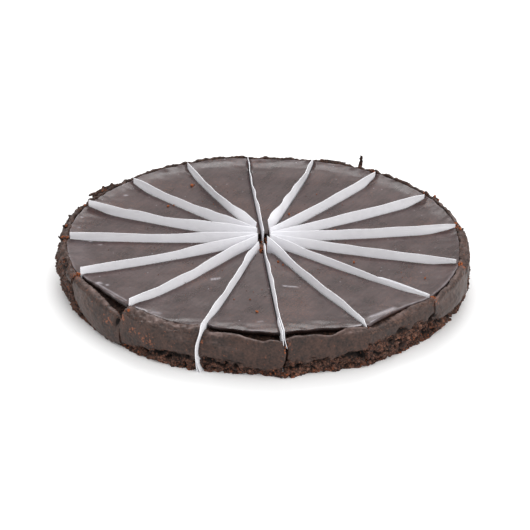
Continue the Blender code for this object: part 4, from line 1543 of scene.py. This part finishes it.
        # the top, from the edge inwards
        for row in range(self.top_rows):
            even = row / (self.top_rows - 1)
            radius = edge - 0.7 + (point + 0.5 - edge + 0.7) * even**1.25
            x, y = radius * cos(radians(angle)), radius * sin(radians(angle))
            # pale smears, with painted highlights on the folds
            pale = sum(streak.pale * self.smear(streak, x, y) for streak in self.streaks)
            rim_light = exp(-(((edge - radius) / 1.2) ** 2))
            # a painted highlight inside the back rim, in patches, only towards the back
            band = exp(-(((edge - radius - self.back_highlight_inside) / self.back_highlight_width) ** 2))
            band *= max(0.0, sin(radians(angle)) - 0.1)
            patches = self.back_highlight_patches.at(x, y)
            pale += self.back_highlight * band * max(0.0, 0.35 + patches + self.back_highlight_flecks.at(x, y))
            rows.append((radius, self.level(share, radius), min(1.0, pale), rim_light, 0.0))
        return np.array(rows)

    def build(self) -> bpy.types.Object:
        """Model the sheet.

        Returns:
            The finished piece.
        """
        number = self.wedge.number
        # pale holds smears and painted highlights, edge the painted highlight along the edge, face the
        # painted shade under it
        looks = ("pale", "edge", "face")
        spun = self.wedge.solid(f"ganache_sheet_{number:02d}", self.section, looks, self.columns)
        return settle(spun.thing, Slot.GANACHE, f"ganache_{number:02d}")


@dataclass
class PaperDivider:
    """The sheet of thin paper that stands in one cut, or the second leaf that lies against it."""

    number: int
    leaf: int = 1
    start: float = 0.0  # where a second leaf begins to show
    aside: float = 0.0  # how far it stands off the first
    higher: float = 0.0
    start_drop: float = 2.0  # how much lower a second leaf's top edge starts
    start_share: float = 0.2
    ending: Knots = ()  # radius of its outer end by height
    apart: Knots = ((0, 0), (32, 0))  # how far the outer end stands off the slit by height
    columns: int = 130
    foot: float = 0.4
    thickness: float = 0.3
    off_middle: float = 0.2  # how far it stands to one side of the cut's middle
    wrinkle: float = 0.12
    low_rows: tuple[float, ...] = (
        0.0, 0.06, 0.12, 0.18, 0.26, 0.36, 0.48, 0.6, 0.68, 0.76, 0.84, 0.92, 1.0
    )  # fmt: skip
    high_rows: int = 9

    @property
    def cut(self) -> Cut:
        """The cut that it stands in."""
        return CUTS[self.number - 1]

    def spot(self, share: float, up: float) -> Vector:
        """Place of a point of the sheet.

        Args:
            share: From its inner end to its outer end.
            up: From its foot at 0 by the ganache at 1 to its top edge at 2.

        Returns:
            The point, measured from the crossing.
        """
        cut, over = self.cut, max(0.0, up - 1)
        inner, outer = max(cut.inner, self.start), cut.outer
        top = at(cut.top, inner + (outer - inner) * share) + self.higher
        if self.leaf > 1:
            top -= self.start_drop * max(0.0, 1 - share / self.start_share)
        height = self.foot + (CAKE_HEIGHT - self.foot) * min(1.0, up) + top * over
        outer = at(self.ending, height, 0.7) if self.ending else outer - max(0.0, 1 - up)
        radius = inner + (outer - inner) * share
        aside = self.aside + cut.aside(radius, height) + at(cut.lean, radius) * over**1.2
        aside += self.wrinkle * rough(radius / 3.2, height / 9, self.number * 3.1) * (0.3 + over)
        aside += at(self.apart, height, 1.5) * wandering(radius)
        bearing = radians(cut.angle)
        ahead = Vector((cos(bearing), sin(bearing), 0))
        left = Vector((-sin(bearing), cos(bearing), 0))
        return ahead * radius + left * (self.off_middle + aside) + Vector((0, 0, height))

    def build(self) -> bpy.types.Object:
        """Model the sheet from a flat grid.

        Returns:
            The finished piece.
        """
        ups = [*self.low_rows, *(1 + (row + 1) / self.high_rows for row in range(self.high_rows))]
        deselect_all()
        bpy.ops.mesh.primitive_grid_add(x_subdivisions=self.columns, y_subdivisions=len(ups) - 1, size=1)
        suffix = "" if self.leaf == 1 else f"_leaf_{self.leaf}"
        made = named(f"divider_{self.number:02d}{suffix}")
        count = self.columns + 1
        for index, vertex in enumerate(made.data.vertices):
            share, up = (index % count) / self.columns, ups[index // count]
            vertex.co = (self.spot(share, up) + CROSSING) * MM
        wall = made.modifiers.new("thickness of the paper", "SOLIDIFY")
        wall.thickness = self.thickness * MM
        wall.offset = 0.0
        bpy.ops.object.modifier_apply(modifier=wall.name)
        smooth(made)
        return settle(made, Slot.PAPER, f"paper_{self.number:02d}")


def dividers() -> list[PaperDivider]:
    """The sixteen sheets, three of them with a second leaf that shows.

    Returns:
        The sheets, in the order of their cuts.
    """
    shown = {
        8: PaperDivider(8, ending=((0, 117.6), (19, 118.6), (23, 121.2), (26.6, 120.2), (27.6, 117.0),
                                   (32, 116.6))),
        9: PaperDivider(9, ending=((0, 119.8), (3.6, 119.8), (5.4, 110), (16, 110), (18, 120.6), (24, 121.6),
                                   (27, 120.2), (31, 118.8))),
        10: PaperDivider(10, ending=((0, 120.8), (8, 121.8), (19, 122.2), (25, 120.0), (31, 118.6))),
    }  # fmt: skip
    leaves = [
        PaperDivider(7, leaf=2, start=78.0, aside=0.55, higher=0.5),
        PaperDivider(9, leaf=2, start=100.0, aside=-0.8, higher=-1.0, apart=((14, -1.2), (19, -1.3), (25, 0)),
                     ending=((0, 119.6), (3.6, 119.6), (5.4, 110), (14, 110), (15, 120.4), (24, 121.0),
                             (32, 119))),
        PaperDivider(10, leaf=2, start=100.0, aside=-0.3, higher=-1.0, apart=((0, -1.6), (3, -1.0), (9, 0)),
                     ending=((0, 120.8), (8, 121.4), (19, 121.4), (25, 119.6), (31, 118))),
    ]  # fmt: skip
    first = [shown.get(number, PaperDivider(number)) for number in range(1, len(CUTS) + 1)]
    return sorted(first + leaves, key=lambda sheet: (sheet.number, sheet.leaf))


@dataclass(frozen=True)
class Flake:
    """A flake of torn crust on the rim, from its root to its tip."""

    name: str
    number: int
    root: Triple  # direction in degrees, radius, height
    tip: Triple
    width: float
    thickness: float
    bend: float
    cuts: int = 7

    @staticmethod
    def spot(place: Triple) -> Vector:
        """Turn a direction, a radius and a height into a place from the crossing."""
        angle, radius, height = place
        return Vector((radius * cos(radians(angle)), radius * sin(radians(angle)), height))

    def build(self) -> bpy.types.Object:
        """Model the flake from a block that is cut finely and bent.

        Returns:
            The finished piece.
        """
        deselect_all()
        bpy.ops.mesh.primitive_cube_add(size=2)
        made = named(self.name)
        bpy.ops.object.mode_set(mode="EDIT")
        bpy.ops.mesh.select_all(action="SELECT")
        bpy.ops.mesh.subdivide(number_cuts=self.cuts)
        bpy.ops.object.mode_set(mode="OBJECT")
        root, tip = self.spot(self.root), self.spot(self.tip)
        ahead = (tip - root).normalized()
        outwards = Vector((root.x, root.y, 0)).normalized()
        across = ahead.cross(outwards).normalized()
        flat = across.cross(ahead)
        for vertex in made.data.vertices:
            a, b, c = vertex.co
            far = (c + 1) / 2
            taper = (1 - 0.4 * far**2) * (1 + 0.6 * rough(far * 6, a, self.number))
            round_a, round_b = a * (1 - 0.25 * b * b), b * (1 - 0.5 * a * a)
            place = root.lerp(tip, far) + flat * self.bend * sin(pi * far)
            place += across * round_a * self.width / 2 * taper + flat * round_b * self.thickness / 2 * taper
            place += across * 0.35 * rough(far * 7, b, 3.0) + ahead * 0.5 * rough(a * 3, b * 3, 8.0)
            vertex.co = (place + CROSSING) * MM
        tint(made, broken=0.8, painted_shade=0.35, warm=0.15)
        smooth(made)
        return settle(made, Slot.CRUMB, f"slice_{self.number:02d}")


FLAKES = (
    Flake("standing_flake", 2, (58.6, 119.4, 27.5), (58.2, 120.2, 37.9), 2.9, 1.2, 0.7),
    Flake("lying_sliver", 2, (72.0, 119.4, 29.6), (63.8, 120.8, 29.8), 1.0, 1.2, 0.2),
    Flake("rim_flap", 14, (144.6, 120.2, 29.0), (154.2, 122.0, 30.0), 3.6, 1.8, 0.9),
    Flake("rim_flap_end", 14, (152.0, 121.4, 30.0), (155.0, 123.6, 30.6), 2.2, 1.7, 0.3),
    Flake("rim_flap_tooth", 14, (148.2, 121.0, 29.8), (148.8, 122.0, 31.7), 2.4, 1.5, 0.2),
    Flake("rim_flap_step", 14, (144.6, 120.6, 29.2), (145.0, 121.4, 30.8), 2.6, 1.6, 0.2),
    Flake("rim_tooth_back", 13, (162.0, 122.0, 27.4), (162.4, 123.6, 29.2), 2.4, 1.5, 0.2),
    Flake("rim_tooth_left", 13, (167.2, 123.0, 26.6), (168.0, 125.4, 29.2), 2.2, 1.4, 0.3),
    Flake("rim_tooth_middle", 13, (172.5, 124.0, 25.8), (173.5, 126.0, 27.6), 2.2, 1.3, -0.2),
    Flake("rim_tooth_low", 12, (180.4, 123.8, 25.6), (180.0, 126.6, 27.6), 2.0, 1.3, 0.2),
)


@dataclass
class MiddleCrumb:
    """Crumb that has fallen between the tips of the slices in the middle."""

    radius: float = 7.4
    top: float = 22.6
    foot: float = 0.2
    segments: int = 48
    rings: int = 28

    def build(self) -> bpy.types.Object:
        """Model the heap from a ball.

        Returns:
            The finished piece.
        """
        deselect_all()
        bpy.ops.mesh.primitive_uv_sphere_add(segments=self.segments, ring_count=self.rings, radius=1)
        made = named("crumb_in_the_middle")
        for vertex in made.data.vertices:
            x, y, z = vertex.co
            flank = 1 / max(0.35, hypot(x, y)) ** 0.7
            lump = 1.4 * rough(x * 2.4, y * 2.4, z * 2.4) + 0.6 * rough(x * 6, y * 6, z * 6)
            height = self.foot + (self.top - self.foot) * (z + 1) / 2 + lump * max(0.0, z)
            reach = self.radius * flank + 0.6 * lump * (abs(z) < 0.97)
            vertex.co = (Vector((x * reach, y * reach, max(self.foot, height))) + CROSSING) * MM
        tint(made, broken=1.0, painted_shade=0.3, warm=0.45)
        made.data.shade_smooth()
        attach(made, "root")
        return made


class Kind(Enum):
    """The kinds of loose crumb, told apart by their colour."""

    BROWN = "brown_crumbs"
    DARK = "dark_crumbs"
    ORANGE = "orange_crumbs"


@dataclass
class LooseCrumbs:
    """All the loose crumbs of one kind: one is modelled, and the others are copies of it."""

    kind: Kind
    seed: int
    places: list[tuple[Vector, float]] = field(default_factory=list)  # middle and width
    squashed: float = 0.75
    stretched: float = 1.35

    @staticmethod
    def one() -> tuple[np.ndarray, np.ndarray]:
        """Model one angular crumb, one unit wide.

        Returns:
            Its points and its faces.
        """
        deselect_all()
        bpy.ops.mesh.primitive_ico_sphere_add(subdivisions=1, radius=0.5)
        made = bpy.context.object
        for vertex in made.data.vertices:
            vertex.co *= 1 + 0.45 * noise.noise(vertex.co * 3.1)
        points = np.array([tuple(vertex.co) for vertex in made.data.vertices])
        faces = np.array([tuple(face.vertices) for face in made.data.polygons])
        bpy.data.meshes.remove(made.data)
        return points, faces

    def build(self) -> bpy.types.Object:
        """Copy the crumb to every place, each turned and squashed its own way.

        Returns:
            The finished piece.
        """
        chance = Random(self.seed)
        points, faces = self.one()
        all_points, all_faces = [], []
        for index, (middle, width) in enumerate(self.places):
            turn = Euler([chance.uniform(0, tau) for _ in range(3)]).to_matrix()
            squash = [chance.uniform(self.squashed, self.stretched) for _ in range(3)]
            copied = (points * squash) @ np.array(turn).T * width
            # none sinks into the table
            middle = Vector((middle.x, middle.y, max(middle.z, -copied[:, 2].min())))
            all_points.append((copied + np.array(middle + CROSSING)) * MM)
            all_faces.append(faces + index * len(points))
        mesh = bpy.data.meshes.new(self.kind.value)
        mesh.from_pydata(np.concatenate(all_points), [], np.concatenate(all_faces))
        made = bpy.data.objects.new(self.kind.value, mesh)
        bpy.context.scene.collection.objects.link(made)
        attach(made, "root")
        return made


@dataclass(frozen=True)
class Litter:
    """Crumbs that lie near one place: where, how many, how far strewn, and how wide."""

    middle: Triple  # direction in degrees, radius, height
    count: int
    strewn: Triple  # along the side, outwards and up
    width: float
    orange: float  # share of orange crumbs


LITTER = (
    Litter((53.6, 119.0, 30.2), 12, (2.4, 1.0, 0.6), 1.5, 0.3),
    Litter((30.8, 120.8, 30.2), 16, (1.8, 1.2, 0.7), 1.6, 0.5),
    Litter((27.9, 123.0, 29.4), 12, (2.4, 1.0, 0.7), 1.5, 0.2),
    Litter((9.7, 121.4, 29.4), 12, (1.2, 1.2, 0.7), 1.4, 0.7),
    Litter((7.0, 122.0, 29.0), 16, (1.6, 1.6, 0.8), 1.5, 0.7),
    Litter((-14.3, 122.2, 27.2), 18, (1.4, 1.6, 0.8), 1.2, 0.8),
    Litter((-35.4, 121.0, 26.2), 14, (1.2, 1.4, 1.2), 1.2, 0.75),
    Litter((-60.6, 120.6, 24.6), 6, (0.8, 0.6, 1.0), 0.9, 0.3),
    Litter((-84.0, 119.6, 2.4), 30, (3.6, 1.8, 1.4), 1.3, 0.35),
    Litter((-84.0, 121.0, 20.0), 8, (0.7, 0.4, 3.0), 0.8, 0.6),
    Litter((-131.2, 117.6, 25.6), 12, (0.8, 1.0, 0.9), 1.2, 0.9),
    Litter((-131.6, 119.6, 20.0), 14, (0.7, 0.8, 2.6), 1.0, 0.8),
    Litter((-156.8, 120.4, 26.0), 18, (1.8, 1.8, 0.8), 1.1, 0.75),
    Litter((-166.0, 123.4, 25.0), 22, (7.0, 1.2, 0.8), 1.1, 0.3),
    Litter((-179.7, 122.6, 27.0), 22, (1.6, 2.0, 0.8), 1.2, 0.75),
    Litter((160.2, 120.8, 28.6), 14, (1.8, 1.6, 0.7), 1.2, 0.5),
    Litter((170.0, 123.6, 27.4), 24, (6.5, 1.0, 0.8), 1.3, 0.1),
    Litter((150.0, 121.4, 29.4), 18, (6.0, 0.8, 0.6), 1.1, 0.1),
    Litter((137.6, 118.0, 29.0), 4, (2.0, 0.8, 0.4), 0.8, 0.3),
    Litter((70.0, 6.5, 23.4), 34, (3.0, 3.0, 1.4), 1.3, 0.55),
    Litter((-100.0, 9.5, 24.0), 20, (1.0, 3.0, 0.6), 1.1, 0.6),
)

# Orange crumbs on the ganache: how far right and back from the crossing, and how wide
ORANGE_CRUMBS = (
    (8.5, -26.8, 1.5), (11.5, -30.6, 1.0), (54.3, -25.6, 1.5), (-47.5, 78.7, 2.0), (-3.7, -89.2, 1.7),
    (-17.2, -74.0, 0.9), (-7.9, -73.7, 0.8), (-61.6, 48.5, 1.5), (44.0, 17.3, 1.3), (15.5, 39.1, 1.6),
    (95.8, -45.8, 1.4), (22.0, 41.0, 0.9), (33.5, 69.0, 1.0), (-58.0, 50.0, 0.9), (-46.0, 80.6, 1.0),
)  # fmt: skip


@dataclass
class Strewing:
    """Where every loose crumb lies."""

    slices: list[SliceOfCake]
    sheets: list[GanacheSheet]
    seed: int = 29
    lodged: int = 1500  # tries for each slice
    lodged_width: Triple = (0.5, 1.7, 0.7)  # least, most and usual
    dark: float = 0.4  # share of dark crumbs among those
    orange_width: Triple = (0.4, 1.1, 0.5)  # of the orange ones that lodge
    littered: tuple[float, float] = (0.55, 1.25)  # least and most of the litter's width
    dust: int = 170  # fine crumbs on the ganache
    dust_ring: Triple = (20, 112, 60)  # nearest, furthest and usual radius
    dust_width: tuple[float, float] = (0.3, 0.6)
    orange_dust: float = 0.35  # share of orange crumbs among those

    def on_ganache(self, x: float, y: float, width: float) -> Vector:
        """Place of a crumb that lies on the ganache.

        Args:
            x: How far it is from the crossing, to the right.
            y: How far it is from the crossing, to the back.
            width: How wide it is.

        Returns:
            Its middle, measured from the crossing.
        """
        angle, radius = degrees(atan2(y, x)), hypot(x, y)
        for sheet in self.sheets:
            share = -turn_between(angle, sheet.wedge.first.angle) / sheet.wedge.opening
            if 0 <= share < 1:
                return Vector((x, y, sheet.level(share, radius) + 0.25 * width))
        return Vector((x, y, CAKE_HEIGHT))

    def build(self) -> list[LooseCrumbs]:
        """Strew the crumbs.

        Returns:
            The crumbs of each kind.
        """
        chance = Random(self.seed)
        kinds = {kind: LooseCrumbs(kind, self.seed + step) for step, kind in enumerate(Kind)}
        for cake in self.slices:
            for place in cake.lodged("broken", self.lodged, chance):
                kind = Kind.DARK if chance.random() < self.dark else Kind.BROWN
                kinds[kind].places.append((place, chance.triangular(*self.lodged_width)))
            for place in cake.lodged("warm", self.lodged // 2, chance):
                kinds[Kind.ORANGE].places.append((place, chance.triangular(*self.orange_width)))
        for heap in LITTER:
            angle, radius, height = heap.middle
            along_side, outwards, up = heap.strewn
            for _ in range(heap.count):
                orange = chance.random() < heap.orange
                kind = Kind.ORANGE if orange else chance.choice((Kind.DARK, Kind.BROWN))
                bearing = radians(angle) + chance.gauss(0, along_side / 2) / radius
                distance = radius + chance.gauss(0, outwards / 2)
                raised = height + chance.gauss(0, up / 2)
                place = Vector((distance * cos(bearing), distance * sin(bearing), raised))
                kinds[kind].places.append((place, heap.width * chance.uniform(*self.littered)))
        for x, y, width in ORANGE_CRUMBS:
            kinds[Kind.ORANGE].places.append((self.on_ganache(x, y, width), width))
        for _ in range(self.dust):
            angle, radius = chance.uniform(0, tau), chance.triangular(*self.dust_ring)
            width = chance.uniform(*self.dust_width)
            kind = Kind.ORANGE if chance.random() < self.orange_dust else Kind.BROWN
            place = self.on_ganache(radius * cos(angle), radius * sin(angle), width)
            kinds[kind].places.append((place, width))
        return list(kinds.values())


@dataclass(frozen=True)
class Panel:
    """A soft flat light that faces the cake: its place and size in metres, its power in watts."""

    name: str
    place: Triple
    size: tuple[float, float]
    power: float

    def build(self) -> bpy.types.Object:
        """Hang the light.

        Returns:
            The light.
        """
        data = bpy.data.lights.new(self.name, "AREA")
        data.shape = "RECTANGLE"
        data.size, data.size_y = self.size
        data.energy = self.power
        made = bpy.data.objects.new(self.name, data)
        made.location = self.place
        made.rotation_euler = (-Vector(self.place)).to_track_quat("-Z", "Y").to_euler()
        bpy.context.scene.collection.objects.link(made)
        return made


PANELS = (
    Panel("back_panel", (0.0, 1.1, 1.3), (1.3, 0.6), 13.5),
    Panel("front_fill", (0.7, -1.1, 0.85), (1.0, 0.8), 5),
    Panel("left_light", (-1.3, -0.3, 0.5), (0.8, 0.8), 2),
    Panel("right_light", (1.3, -0.2, 0.5), (0.8, 0.8), 4),
)


@dataclass
class Studio:
    """Plain pale floor, soft light and the camera. The angles are in degrees."""

    sensor: float = 36.0
    focal: float = 132.467
    distance: float = 1200.0
    elevation: float = 26.958587
    yaw: float = -0.030815
    pitch: float = -0.684219
    roll: float = -0.694744
    floor_size: float = 12.0  # metres
    wall_glow: float = 0.64
    ceiling_glow: float = 1.2

    def camera(self) -> bpy.types.Object:
        """Stand the camera where the photograph was taken from.

        Returns:
            The camera.
        """
        up_angle = radians(self.elevation)
        forward = Vector((0, cos(up_angle), -sin(up_angle)))
        right = Vector((1, 0, 0))
        up = Vector((0, sin(up_angle), cos(up_angle)))
        yaw = Matrix.Rotation(radians(self.yaw), 3, up)
        forward, right = yaw @ forward, yaw @ right
        pitch = Matrix.Rotation(radians(self.pitch), 3, right)
        forward, up = pitch @ forward, pitch @ up
        roll = Matrix.Rotation(radians(self.roll), 3, forward)
        right, up = roll @ right, roll @ up
        target = (CROSSING + Vector((0, 0, CAKE_HEIGHT))) * MM
        place = target - Vector((0, cos(up_angle), -sin(up_angle))) * self.distance * MM
        turned = Matrix((right, up, -forward)).transposed().to_4x4()
        data = bpy.data.cameras.new("camera")
        data.lens = self.focal
        data.sensor_width = self.sensor
        data.sensor_fit = "HORIZONTAL"
        made = bpy.data.objects.new("camera", data)
        made.matrix_world = Matrix.Translation(place) @ turned
        bpy.context.scene.collection.objects.link(made)
        bpy.context.scene.camera = made
        return made

    def floor(self) -> bpy.types.Object:
        """Lay the floor.

        Returns:
            The floor.
        """
        deselect_all()
        bpy.ops.mesh.primitive_plane_add(size=self.floor_size, location=(0, 0, 0))
        made = named("floor")
        finish = bpy.data.materials.new("matt_white_floor")
        finish.use_nodes = True
        shader = finish.node_tree.nodes["Principled BSDF"]
        shader.inputs["Base Color"].default_value = (0.95, 0.95, 0.95, 1)
        shader.inputs["Roughness"].default_value = 0.9
        made.data.materials.append(finish)
        return made

    def build(self) -> None:
        """Set everything up round the cake."""
        world = bpy.data.worlds.new("white_room")
        world.use_nodes = True
        background = world.node_tree.nodes["Background"]
        background.inputs["Color"].default_value = (1, 1, 1, 1)
        # the walls of the white room are dimmer than its ceiling
        direction = add(world.node_tree, "ShaderNodeTexCoord", {}).outputs["Generated"]
        split = add(world.node_tree, "ShaderNodeSeparateXYZ", {"Vector": direction})
        glow = add(world.node_tree, "ShaderNodeMapRange", {"Value": split.outputs["Z"], "From Min": 0.3,
                   "From Max": 0.9, "To Min": self.wall_glow, "To Max": self.ceiling_glow})  # fmt: skip
        world.node_tree.links.new(glow.outputs[0], background.inputs["Strength"])
        bpy.context.scene.world = world
        bpy.context.scene.view_settings.view_transform = "Standard"
        self.floor()
        self.camera()
        for panel in PANELS:
            panel.build()


def dress(made: bpy.types.Object, finish: bpy.types.Material) -> None:
    """Give a piece its finish, and report it.

    Args:
        made: The piece.
        finish: Its material.
    """
    made.data.materials.clear()
    made.data.materials.append(finish)
    LOG.info("%s: %d faces", made.name, len(made.data.polygons))


def main() -> None:
    """Build the cake and the studio."""
    logging.basicConfig(level=logging.INFO)
    Studio().build()
    crumb = BakedCrumb("baked_chocolate_crumb", 0.46, 1.46).build()
    glaze = SetGanache("set_ganache", 0.3, 1.46).build()
    paper = BakingPaper("glazed_baking_paper", 0.6, 1.5).build()
    torn = {
        Kind.BROWN: TornCrumb("torn_brown_crumb", 0.85, 1.46, "#3A2118", "#6B4637").build(),
        Kind.DARK: TornCrumb("torn_dark_crumb", 0.8, 1.46, "#1C110D", "#38251D").build(),
        Kind.ORANGE: TornCrumb("torn_orange_crumb", 0.85, 1.46, "#6E3B22", "#A3592F").build(),
    }
    wedges = [Wedge(number) for number in range(1, len(CUTS) + 1)]
    slices = [SliceOfCake(wedge) for wedge in wedges]
    sheets = [GanacheSheet(wedge) for wedge in wedges]
    for cake in slices:
        dress(cake.build(), crumb)
    for sheet in sheets:
        dress(sheet.build(), glaze)
    for divider in dividers():
        dress(divider.build(), paper)
    for flake in FLAKES:
        dress(flake.build(), crumb)
    dress(MiddleCrumb().build(), crumb)
    for crumbs in Strewing(slices, sheets).build():
        dress(crumbs.build(), torn[crumbs.kind])


if __name__ == "__main__":
    main()
